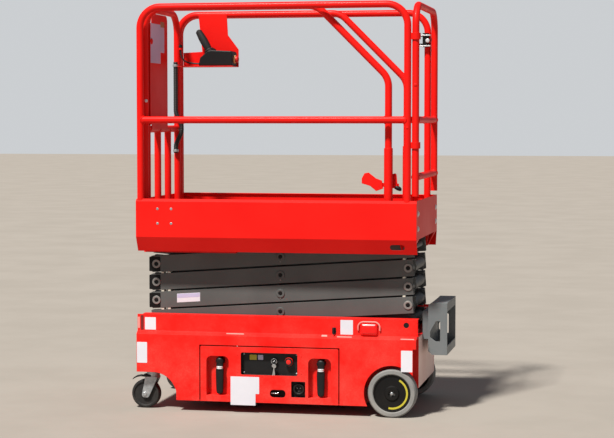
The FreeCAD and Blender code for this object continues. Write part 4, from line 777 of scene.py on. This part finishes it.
def lens_ring(side, inset, out):
    inset *= MM
    corner = max(9 * MM - inset * 0.3, 2 * MM)
    outline = rounded((LAMP_X - 0.042 + inset, 0.387 + inset), (LAMP_X + 0.042 - inset, 0.444 - inset), corner)
    return [Vector((x, side * (BAND + out * MM), z)) for x, z in outline]


def hoop_line(side):
    y = side * HOOP_OUT
    feet = [Vector((LAMP_X + way * 0.052, side * (BAND - 2 * MM), 0.411)) for way in (-1, 1)]
    knees = [Vector((LAMP_X + way * 0.052, y - side * 1.5 * MM, 0.4135)) for way in (-1, 1)]
    left = arc((LAMP_X - 0.026, y, 0.425), 0.026, 180, 90)
    right = arc((LAMP_X + 0.026, y, 0.425), 0.026, 90, 0)
    return [feet[0], knees[0]] + left + right + [knees[1], feet[1]]


for word, side in SIDES:
    lens, hoop = bmesh.new(), bmesh.new()
    loft(lens, [lens_ring(side, inset, out) for inset, out in LENS_ROWS])
    tube(hoop, hoop_line(side), 4 * MM, 16)
    piece(f"lamp_lens_{word}", lens, "base", LENS, replaces=["side_lamps"])
    # The hoop's pale pink is a painted highlight.
    piece(f"lamp_hoop_{word}", hoop, "base", PALE_PINK)
print("lens rows:", len(LENS_ROWS))

# %% [markdown]
# Marks and bolts on the wheels
#
# The drive hub carries an arc of yellow paint, which the camera sees on the near wheel, and a bright
# bolt in its middle. The arc is a short bar swept round the axle, a third of a millimetre proud.

# %% Yellow arc and centre bolts
AXLE = Vector((0.5275, 0, 0.115))
HUB_DISC, HUB_BOSS = 0.368, 0.374
ARC_RADII = (0.0672, 0.0762)
ARC_ANGLES = (61, -103)
HUB_BOLT = scaled([(7.5, -1), (7.5, 1.2), (6.8, 2.4), (4.5, 3.4), (1.5, 3.9)])


def arc_sections(side, steps=48):
    rings = []
    for step in range(steps + 1):
        a = math.radians(ARC_ANGLES[0] + (ARC_ANGLES[1] - ARC_ANGLES[0]) * step / steps)
        corners = [(ARC_RADII[0], HUB_DISC - 1 * MM), (ARC_RADII[1], HUB_DISC - 1 * MM),
                   (ARC_RADII[1], HUB_DISC + VINYL), (ARC_RADII[0], HUB_DISC + VINYL)]
        rings.append([AXLE + Vector((r * math.cos(a), side * out, r * math.sin(a))) for r, out in corners])
    return rings


for word, side in SIDES:
    yellow, middle = bmesh.new(), bmesh.new()
    loft(yellow, arc_sections(side))
    piece(f"hub_arc_{word}", yellow, f"drive_wheel_{word}", YELLOW)
    turned(middle, HUB_BOLT, AXLE + Vector((0, side * HUB_BOSS, 0)), (0, side, 0), 32)
    piece(f"hub_bolt_{word}", middle, f"drive_wheel_{word}", ZINC)
print("arc from", ARC_ANGLES[0], "to", ARC_ANGLES[1], "degrees")

# %% Caster nuts and brake levers
CASTER_AXLE = Vector((-0.694, 0, 0.070))
for word, side in SIDES:
    low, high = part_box(f"caster_fork_{word}")
    middle = (low.y + high.y) / 2
    nuts, lever = bmesh.new(), bmesh.new()
    for way in (-1, 1):
        spot = Vector((CASTER_AXLE.x, middle + way * 0.0318, CASTER_AXLE.z))
        turned(nuts, scaled([(12, 0), (12, 1.6)]), spot, (0, way, 0), 28)
        turned(nuts, scaled([(10, 1.4), (10, 5), (8.8, 6.4)]), spot, (0, way, 0), 6)
    piece(f"caster_nuts_{word}", nuts, f"caster_{word}", ZINC)
    rows = [(-0.700, 0.1535, 13, 4), (-0.722, 0.1560, 14, 4.5), (-0.742, 0.1515, 15, 4.5), (-0.757, 0.1430, 15, 3.5),
            (-0.762, 0.1380, 13, 2)]
    loft(lever, [oval((x, middle, z), wide * MM, deep * MM, Y_AXIS, Z_AXIS, 20, 3) for x, z, wide, deep in rows])
    ring_shape(lever, scaled([(29, 0), (33, 0), (33, 7), (31, 10), (29, 10)]),
               (low.x + 0.0349, middle, 0.1545), (0, 0, 1))
    piece(f"caster_brake_{word}", lever, f"caster_{word}", PLASTIC)
print("caster axle at", tuple(CASTER_AXLE))

# %% [markdown]
# Pins of the scissor arms
#
# Where arms cross or end, a pin shows as a dark round end inside a light washer; the black of that end
# is painted shade for the pin's bore. Black plates on the outer arms' left ends are painted shade too.
# Small rest pads sit on the arms near both ends, and the folded stack lies on them. Each piece rides on
# its own pair of arms, so the stack opens with its fittings.

# %% Washers, pin ends and pads
PIN_RIGHT, PIN_LEFT, PIN_MIDDLE = 0.583, -0.6628, -0.0399
FIRST_PIN, LEVEL_RISE = 0.431, 0.089
ARM_SLOPE = math.asin(0.089 / 1.249)
WASHER = scaled([(11.4, 0), (21, 0), (21, 3.6), (19.6, 4.8), (11.4, 4.8)])
PIN_END = scaled([(11.3, 0), (11.3, 2), (9.6, 3.1), (3, 3.4)])
ARM_HALF = 0.040


def pin_marks(level):
    """The places of a level's pins, and whether each has a light washer."""
    base = FIRST_PIN + LEVEL_RISE * (level - 1)
    spots = [(PIN_MIDDLE, base + LEVEL_RISE / 2, False)]
    if level < 4:
        spots.append((PIN_RIGHT, base + LEVEL_RISE, True))
    if level > 1:
        spots.append((PIN_LEFT, base, True))
    return spots


def arm_height(level, x):
    return FIRST_PIN + LEVEL_RISE * (level - 1) + (x - PIN_LEFT) * math.tan(ARM_SLOPE)


for level in range(1, 5):
    light, dark, ends, pads = bmesh.new(), bmesh.new(), bmesh.new(), bmesh.new()
    for side in (-1, 1):
        for x, z, bright in pin_marks(level):
            ring_shape(light if bright else dark, WASHER, (x, side * 0.230, z), (0, side, 0))
            # Black pin end: painted shade of the pin's bore.
            turned(ends, PIN_END, (x, side * 0.230, z), (0, side, 0), 28)
        speck = (PIN_MIDDLE, side * 0.2298, FIRST_PIN + LEVEL_RISE * (level - 0.5) - 0.024)
        turned(light, scaled([(4, 0), (4, 1.2), (2.5, 2.2)]), speck, (0, side, 0), 20)
        end_low, end_high = sorted((side * 0.2290, side * 0.2312))
        end_z = FIRST_PIN + LEVEL_RISE * (level - 1) - 1 * MM
        if level > 1:
            # Black plate on the arm's left end: painted shade.
            pushed(ends, rounded((-0.6990, end_z - 0.036), (-0.6430, end_z + 0.036), 4 * MM), "y", end_low, end_high)
        if level < 4:
            for x in (-0.6316, -0.5985, 0.5634):
                top = arm_height(level, x) + ARM_HALF
                low, high = sorted((side * 0.2290, side * 0.1950))
                pushed(pads, rounded((x - 7 * MM, top - 1 * MM), (x + 7 * MM, top + 8 * MM), 2 * MM), "y", low, high)
    body = f"outer_{level}"
    piece(f"pin_washers_{level}", light, body, PIN_STEEL, bevel=0.5 * MM)
    piece(f"pin_rings_{level}", dark, body, ARM_GREY, bevel=0.5 * MM)
    # The black pin ends and end plates are painted shade.
    piece(f"pin_ends_shade_{level}", ends, body, HUB_BLACK)
    if level < 4:
        piece(f"rest_pads_{level}", pads, body, NYLON, bevel=0.8 * MM)
    else:
        pads.free()
print("arms rise", round(math.degrees(ARM_SLOPE), 2), "degrees")

# %% Plate on an arm


def sloped(x_low, x_high, rise_low, rise_high):
    """A four-cornered outline that leans with the second outer arm."""
    return [(x, arm_height(2, x) + rise) for x, rise in
            ((x_low, rise_low), (x_high, rise_low), (x_high, rise_high), (x_low, rise_high))]


vinyl("arm_plate", "outer_2", sloped(-0.5588, -0.4421, -0.0180, 0.0250), "y", ARM_FACE, -1)
vinyl("arm_plate_band", "outer_2", sloped(-0.5570, -0.4440, 0.0040, 0.0235), "y", ARM_FACE - VINYL, -1, LABEL_GREY)
print("arm plate at height", round(arm_height(2, -0.5), 3))

# %% [markdown]
# Weld beads on the rails
#
# The rails are welded tube. A rippled bead where each mid rail meets its post is what makes the eye
# read it as welded rather than drawn. Beads are painted with the rails and ride with them.

# %% Weld beads
MID_RAIL, FRONT_MID, LOW_BAR = 1.403, 1.358, 1.135
OUTER_Y, CAGE_Y, HOOP_Y, GATE_X, GATE_Y = 0.35885, 0.305, 0.271, 0.632, 0.345
CAGE_LEFT, CAGE_RIGHT = -0.694, 0.498


def weld_piece(name, body, joints):
    mesh = bmesh.new()
    for spot, branch, main in joints:
        weld(mesh, Vector(spot), branch, main, RAIL, RAIL)
    piece(name, mesh, body, RED)


RIGHTWARD, LEFTWARD = (1, 0, 0), (-1, 0, 0)
weld_piece("rail_welds_deck", "deck", [
    ((x, side * OUTER_Y, MID_RAIL), way, Z_AXIS)
    for side in (-1, 1) for x, way in ((-0.702, RIGHTWARD), (0.596, LEFTWARD))])
weld_piece("rail_welds_extension", "extension", [
    ((x, side * CAGE_Y, MID_RAIL), way, Z_AXIS)
    for side in (-1, 1) for x, way in ((CAGE_LEFT, RIGHTWARD), (CAGE_RIGHT, LEFTWARD))] + [
    ((CAGE_LEFT, side * HOOP_Y, FRONT_MID), (0, -side, 0), Z_AXIS) for side in (-1, 1)] + [
    ((CAGE_LEFT, side * HOOP_Y / 3, FRONT_MID), (0, 0, -1), Y_AXIS) for side in (-1, 1)])
weld_piece("rail_welds_gate", "gate", [
    ((GATE_X, side * GATE_Y, height), (0, -side, 0), Z_AXIS) for side in (-1, 1) for height in (MID_RAIL, LOW_BAR)])
print("weld beads on", ["deck", "extension", "gate"])

# %% [markdown]
# Gate fittings
#
# Bolt heads hold the hinge and the bump stop. The latch on the far post has a near-white plate above and
# below its block, and a round near-white knob between them; their whiteness is a painted glint.

# %% Latch plates, knob and bolts
plates = bmesh.new()
for z in (1.7755, 1.8290):
    pushed(plates, rounded((0.5487, 0.3180), (0.6140, 0.3420), 3 * MM), "z", z - 3 * MM, z + 3 * MM)
turned(plates, scaled([(6, 0), (6, 4), (10.5, 5), (10.5, 11), (8, 14), (3, 15)]), (0.6000, 0.325, 1.8020),
       (0, -1, 0), 28)
piece("gate_latch_plates", plates, "deck", GLINT_METAL, bevel=0.8 * MM)
gate_bolts = [(GATE_X, -GATE_Y - RAIL + 1 * MM, 1.566)]
bolts("gate_bolts", "gate", RED, gate_bolts, (0, -1, 0), 10 * MM, mirror=True)
bolts("rail_bolts", "deck", RED, [(0.596, -0.3748, 1.3652)], (0, -1, 0), 7 * MM)
# The cage bolt's near-white head carries a painted glint.
bolts("cage_bolt", "extension", GLINT_METAL, [(-0.6840, -0.3192, 1.4953)], (0.4, -1, 0), 9 * MM)
print("latch plates:", 2)

# %% [markdown]
# The notice on the front panel
#
# A printed sheet hangs inside the front hoop. Here it is blank: a pale sheet with one notched corner,
# a small tan plate over its top corner and a dark grommet at its edge.

# %% Notice sheet
PANEL_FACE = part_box("notice_panel")[1].x
TAN = finish("tan_plate", (176, 132, 92), (150, 108, 74), 0.5, fine=700, bump=0.05, edge=0.0004)
edge = bmesh.new()
pushed(edge, rounded((-0.2830, 1.3800), (-0.2520, 1.8700), 3 * MM), "x", PANEL_FACE - 3.7 * MM, PANEL_FACE - 0.1 * MM)
piece("notice_panel_edge", edge, "extension", RED)
vinyl("notice_sheet", "extension", notched((-0.2780, 1.6800), (-0.0400, 1.8720), (0.067, 0.055)), "x", PANEL_FACE, 1,
      LABEL_GREY)
vinyl("notice_corner", "extension", rounded((-0.1060, 1.8600), (-0.0400, 1.8870), 2 * MM), "x", PANEL_FACE + VINYL, 1,
      TAN)
grommet = bmesh.new()
ring_shape(grommet, scaled([(7, 0), (15, 0), (15, 2), (12, 4.5), (7, 4)]), (PANEL_FACE, -0.2640, 1.7840), (1, 0, 0))
turned(grommet, scaled([(7, 0), (7, 1.5)]), (PANEL_FACE, -0.2640, 1.7840), (1, 0, 0), 24)
piece("notice_grommet", grommet, "extension", RED)
print("panel face at", round(PANEL_FACE, 4))

# %% [markdown]
# The ribbed sleeve
#
# Cables run up the front hoop in a ribbed black sleeve that bows round the mid rail, clamped by two
# bands. A tube whose radius alternates from ring to ring gives the ribs.

# %% Sleeve and bands
SLEEVE_Y = 0.24185
SLEEVE_ENDS = (1.233, 1.700)
SLEEVE_BOW = 0.03085
RIB = 4.4 * MM


def smooth_step(value, low, high):
    share = min(max((value - low) / (high - low), 0), 1)
    return share * share * (3 - 2 * share)


def sleeve_x(z):
    return CAGE_LEFT + SLEEVE_BOW * smooth_step(z, 1.264, 1.352) * (1 - smooth_step(z, 1.364, 1.452))


rows = int((SLEEVE_ENDS[1] - SLEEVE_ENDS[0]) / RIB)
heights = [SLEEVE_ENDS[0] + (SLEEVE_ENDS[1] - SLEEVE_ENDS[0]) * row / rows for row in range(rows + 1)]
sleeve = bmesh.new()
tube(sleeve, [Vector((sleeve_x(z), SLEEVE_Y, z)) for z in heights],
     [(12 if row % 2 else 10.4) * MM for row in range(rows + 1)], 18)
piece("cable_sleeve", sleeve, "extension", CABLE, replaces=["conduit"])
clamp = bmesh.new()
for z in (1.239, 1.676):
    ring_shape(clamp, scaled([(11, 0), (15, 0), (15, 12), (11, 12)]), (CAGE_LEFT, SLEEVE_Y, z), (0, 0, 1), 36)
piece("sleeve_bands", clamp, "extension", ZINC, bevel=0.6 * MM)
print("ribs:", rows // 2)

# %% [markdown]
# The control cord
#
# A short cord joins the control box to a gland on the hoop. The photograph shows it from end to end,
# so its length is what hangs there. It is a NURBS curve on five control points that bends gently
# everywhere, with a bevel for its thickness.

# %% Cord and glands
CORD_Y = 0.263
CORD_ROUTE = [(-0.67315, 1.763), (-0.67315, 1.731), (-0.64715, 1.69915), (-0.597, 1.69115), (-0.569, 1.69115)]


def make_cord():
    line = bpy.data.curves.new("control_cord_line", "CURVE")
    line.dimensions = "3D"
    line.bevel_depth = 4 * MM
    line.bevel_resolution = 5
    line.use_fill_caps = True
    line.resolution_u = 16
    route = line.splines.new("NURBS")
    route.points.add(len(CORD_ROUTE) - 1)
    for point, (x, z) in zip(route.points, CORD_ROUTE):
        point.co = (x, CORD_Y, z, 1)
    route.order_u = 3
    route.use_endpoint_u = True
    line.materials.append(CABLE)
    cord = bpy.data.objects.new("control_cord_flex", line)
    scene.collection.objects.link(cord)
    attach(cord, "extension")
    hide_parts("control_cord")
    made_pieces.append(cord)


make_cord()
glands = bmesh.new()
gland_spot = Vector((CORD_ROUTE[0][0], CORD_Y, CORD_ROUTE[0][1]))
turned(glands, scaled([(5.2, 0), (6.8, 5), (8.4, 12), (8.8, 14)]), gland_spot, (0, 0, 1), 28)
turned(glands, scaled([(10.4, 13), (10.4, 22), (9, 26)]), gland_spot, (0, 0, 1), 6)
piece("cord_gland_cap", glands, "extension", PLASTIC)

# %% [markdown]
# The deck control box
#
# The control box stands on the bracket's tray: a sloped case, a ribbed grip that leans back from a
# rubber bellows, and a red stop button on its end, in a collar whose cream colour is a painted highlight.
# The grip's ribs come from ovals that swell and shrink along its axis.

# %% Case, grip and stop
CASE = [(-0.5550, 1.6772), (-0.3790, 1.6772), (-0.3770, 1.7420), (-0.3830, 1.7520), (-0.4860, 1.7570),
        (-0.5050, 1.7540), (-0.5470, 1.7190)]
GRIP_FOOT, GRIP_TOP = Vector((-0.5090, 0.224, 1.7560)), Vector((-0.5700, 0.224, 1.8610))
BELLOWS = scaled([(33, 0), (33, 5), (28, 7), (30, 10), (29, 12), (24, 14), (26, 17), (25, 19), (19, 22), (18, 25)])
STOP_CAP = scaled([(13, 0), (13, 8.5), (17.4, 9.5), (17.6, 15), (15.2, 20), (9.5, 23), (2, 24)])


def grip_rings(steps=44):
    along = (GRIP_TOP - GRIP_FOOT).normalized()
    across = along.cross(Y_AXIS).normalized()
    rings = []
    for step in range(steps + 1):
        share = step / steps
        swell = 16.0 + 4.6 * math.sin(math.pi * min(share * 1.1, 1)) ** 0.8
        ends = min(1, 0.35 + 6 * share, 0.45 + 8 * (1 - share))
        rib = 0.7 * (step % 2) if 0.15 < share < 0.85 else 0
        size = (swell * ends - rib) * MM
        rings.append(oval(GRIP_FOOT.lerp(GRIP_TOP, share), size, size * 0.95, across, Y_AXIS, 28, 2.3))
    return rings


case = bmesh.new()
pushed(case, CASE, "y", 0.174, 0.274)
piece("control_case", case, "extension", PLASTIC, bevel=5 * MM, replaces=["control_box"])
grip = bmesh.new()
loft(grip, grip_rings())
lean = GRIP_TOP - GRIP_FOOT
turned(grip, BELLOWS, (-0.5030, 0.224, 1.7440), lean, 40)
turned(grip, scaled([(9, 0), (9, 6), (7.4, 11), (5.4, 24)]), (-0.5450, CORD_Y, 1.69115), (-1, 0, 0), 28)
piece("control_grip", grip, "extension", BLACK_RUBBER)
cap = bmesh.new()
turned(cap, STOP_CAP, (-0.3790, 0.224, 1.7110), (1, 0, 0), 40)
piece("control_stop", cap, "extension", SIGNAL_RED)
# The stop's collar is cream: a painted highlight.
collar = bmesh.new()
ring_shape(collar, scaled([(11, 0), (20.5, 0), (20.5, 5), (19, 7), (11, 7)]), (-0.3785, 0.224, 1.7110), (1, 0, 0), 40)
piece("control_stop_collar", collar, "extension", finish("cream_ring_painted_highlight", (250, 206, 140), (236, 190, 120), 0.45))
PADDLE = [(0.3670, 1.1260), (0.3800, 1.1500), (0.4000, 1.1540), (0.4361, 1.1260), (0.4640, 1.1160), (0.4700, 1.0780),
          (0.4363, 1.0660), (0.4080, 1.0900), (0.3670, 1.1020)]
paddle = bmesh.new()
pushed(paddle, PADDLE, "y", -0.2850, -0.2810)
pushed(paddle, rounded((0.4990, 1.0800), (0.5280, 1.1480), 6 * MM), "y", -0.2850, -0.2810)
piece("pedal_paddle", paddle, "extension", RED, bevel=1 * MM)
pedal = bmesh.new()
loft(pedal, [oval((x, -0.2710, z), wide * MM, wide * MM, Y_AXIS, Z_AXIS, 20, 2)
             for x, z, wide in ((0.5190, 1.0880, 5), (0.5230, 1.0860, 9), (0.5330, 1.0820, 11.5), (0.5440, 1.0780, 11.5),
                                (0.5520, 1.0750, 9), (0.5560, 1.0740, 5))])
piece("pedal_knob", pedal, "extension", PLASTIC)
print("grip length:", round((GRIP_TOP - GRIP_FOOT).length, 3))

# %% [markdown]
# Small things on the band
#
# A black hook hangs on the band beside the lamp, and a black disc behind the access hole paints the
# shade inside it. A dark red plate at the band's left end paints the shade of a slot, beside a pale pink
# strip, and the ledge carries pale pink patches. The patches are as thin as the paint.

# %% Hook, painted shade of slot and hole, and pink patches
# Dark red for the painted shade of a slot.
SLOT_PAINTED_SHADE = finish("slot_shade", (120, 8, 8), (96, 5, 5), 0.7, fine=500, bump=0.1, edge=0.0004)
hook = bmesh.new()
tube(hook, [Vector((0.2485, -0.358, 0.4170)), Vector((0.2485, -0.368, 0.4170)), Vector((0.2485, -0.3715, 0.4080)),
            Vector((0.2485, -0.3700, 0.3960)), Vector((0.2460, -0.3740, 0.3880))], 3.6 * MM, 14)
pushed(hook, rounded((0.2395, 0.3900), (0.2575, 0.4200), 3 * MM), "y", -0.3630, -0.3600)
# Black disc behind the access hole: painted shade inside the hole.
turned(hook, scaled([(12.6, 0), (12.6, 2)]), (0.5935, -0.3565, 0.4380), (0, -1, 0), 32)
piece("band_hook_and_hole_shade", hook, "base", PLASTIC)
# Dark red plate: painted shade of a slot at the band's left end.
vinyl("band_slot_shade", "base", rounded((-0.7047, 0.3870), (-0.6905, 0.4580), 3 * MM), "y", BAND_FACE, -1, SLOT_PAINTED_SHADE)
# A pale pink strip at the band's left end.
vinyl("band_edge_pink", "base", rounded((-0.7195, 0.3960), (-0.7094, 0.4500), 2 * MM), "y", BAND_FACE, -1, PALE_PINK)


def ledge_patch(mesh, x_low, x_high, z_low, z_high):
    """A thin patch on the sloped ledge between the band and the side."""
    def spot(x, z, proud):
        return Vector((x, -0.380 + (z - 0.370) * 4 / 3 - 0.6 * proud, z + 0.8 * proud))
    low = [spot(x, z, 0.1 * MM) for x, z in ((x_low, z_low), (x_high, z_low), (x_high - 2 * MM, z_high), (x_low, z_high))]
    loft(mesh, [low, [point + Vector((0, -0.15, 0.2)) * MM for point in low]])


# Thin pale pink patches on the ledge.
patches = bmesh.new()
ledge_patch(patches, -0.2760, -0.1880, 0.3772, 0.3815)
ledge_patch(patches, 0.1890, 0.2170, 0.3770, 0.3838)
ledge_patch(patches, 0.2640, 0.3360, 0.3755, 0.3795)
ledge_patch(patches, 0.5690, 0.6340, 0.3722, 0.3760)
piece("ledge_pink_patches", patches, "base", PALE_PINK)
print("band fittings ready")

# %% [markdown]
# Grip sheet on the platform
#
# The platform's floor has a raised tread. A thin sheet with a diamond pattern lies between the posts.
# The pattern is two sets of slanted waves in the bump, so it needs no extra geometry.

# %% Tread sheet


def make_tread():
    material = finish("tread_sheet", (92, 94, 96), (78, 80, 82), 0.5, worn=(150, 150, 148), wear=0.5, dust=0.3,
                      clean_above=0.2, on_top=0.6, fine=300, bump=0.1)
    tree = material.node_tree
    shader = tree.nodes["Principled BSDF"]
    split = add_node(tree, "SeparateXYZ", {0: rest_place(tree)})
    waves = []
    for way in (1.0, -1.0):
        slant = sums(tree, "ADD", split.outputs["X"], sums(tree, "MULTIPLY", split.outputs["Y"], way))
        waves.append(sums(tree, "ABSOLUTE", sums(tree, "SINE", sums(tree, "MULTIPLY", slant, 105.0), 0.0), 0.0))
    ridges = spread(tree, sums(tree, "MULTIPLY", waves[0], waves[1]), 0.55, 0.9)
    height = add_node(tree, "Bump", {"Strength": 0.9, "Distance": 0.0015, "Height": ridges})
    tree.links.new(height.outputs[0], shader.inputs["Normal"])
    return material


tread = bmesh.new()
pushed(tread, rounded((-0.6650, -0.2480), (0.4600, 0.2480), 6 * MM), "z", 0.8808, 0.8818)
piece("platform_tread", tread, "extension", make_tread())
print("tread sheet on the platform")

# %% [markdown]
# The studio
#
# The part stands on a plain pale floor under a soft key light from high on the left and a pale sky.
# The key is where the sun was in the photograph, so the deck shades the arms in the same way.

# %% Floor, sky and key light
KEY_FROM = Vector((-0.25, -0.62, 1.0))
SKY_LIGHT = (0.195, 0.205, 0.23, 1)
BACKDROP = (0.6, 0.62, 0.64, 1)


def make_floor():
    mesh = bmesh.new()
    pushed(mesh, [(-60, -60), (60, -60), (60, 60), (-60, 60)], "z", -0.02, 0.0)
    data = bpy.data.meshes.new("floor")
    mesh.to_mesh(data)
    mesh.free()
    floor = bpy.data.objects.new("floor", data)
    scene.collection.objects.link(floor)
    data.materials.append(finish("pale_floor", (160, 153, 144), (154, 147, 138), 0.85, fine=120, bump=0.1,
                                 broad=1.5))


def make_sky():
    world = bpy.data.worlds.new("pale_sky")
    world.use_nodes = True
    scene.world = world
    tree = world.node_tree
    back = tree.nodes["Background"]
    seen = add_node(tree, "LightPath").outputs["Is Camera Ray"]
    tree.links.new(blend_colours(tree, seen, SKY_LIGHT, BACKDROP), back.inputs["Color"])


def make_key():
    lamp = bpy.data.lights.new("key", "SUN")
    lamp.energy = 5.7
    lamp.angle = math.radians(6)
    lamp.color = (1.0, 0.965, 0.91)
    key = bpy.data.objects.new("key", lamp)
    key.rotation_euler = KEY_FROM.to_track_quat("Z", "Y").to_euler()
    scene.collection.objects.link(key)


make_floor()
make_sky()
make_key()
scene.view_settings.view_transform = "Standard"
print("stage set")

# %% [markdown]
# Counting the pieces
#
# The script prints how many pieces it made.

# %% Count of pieces
print("pieces made:", len(made_pieces))
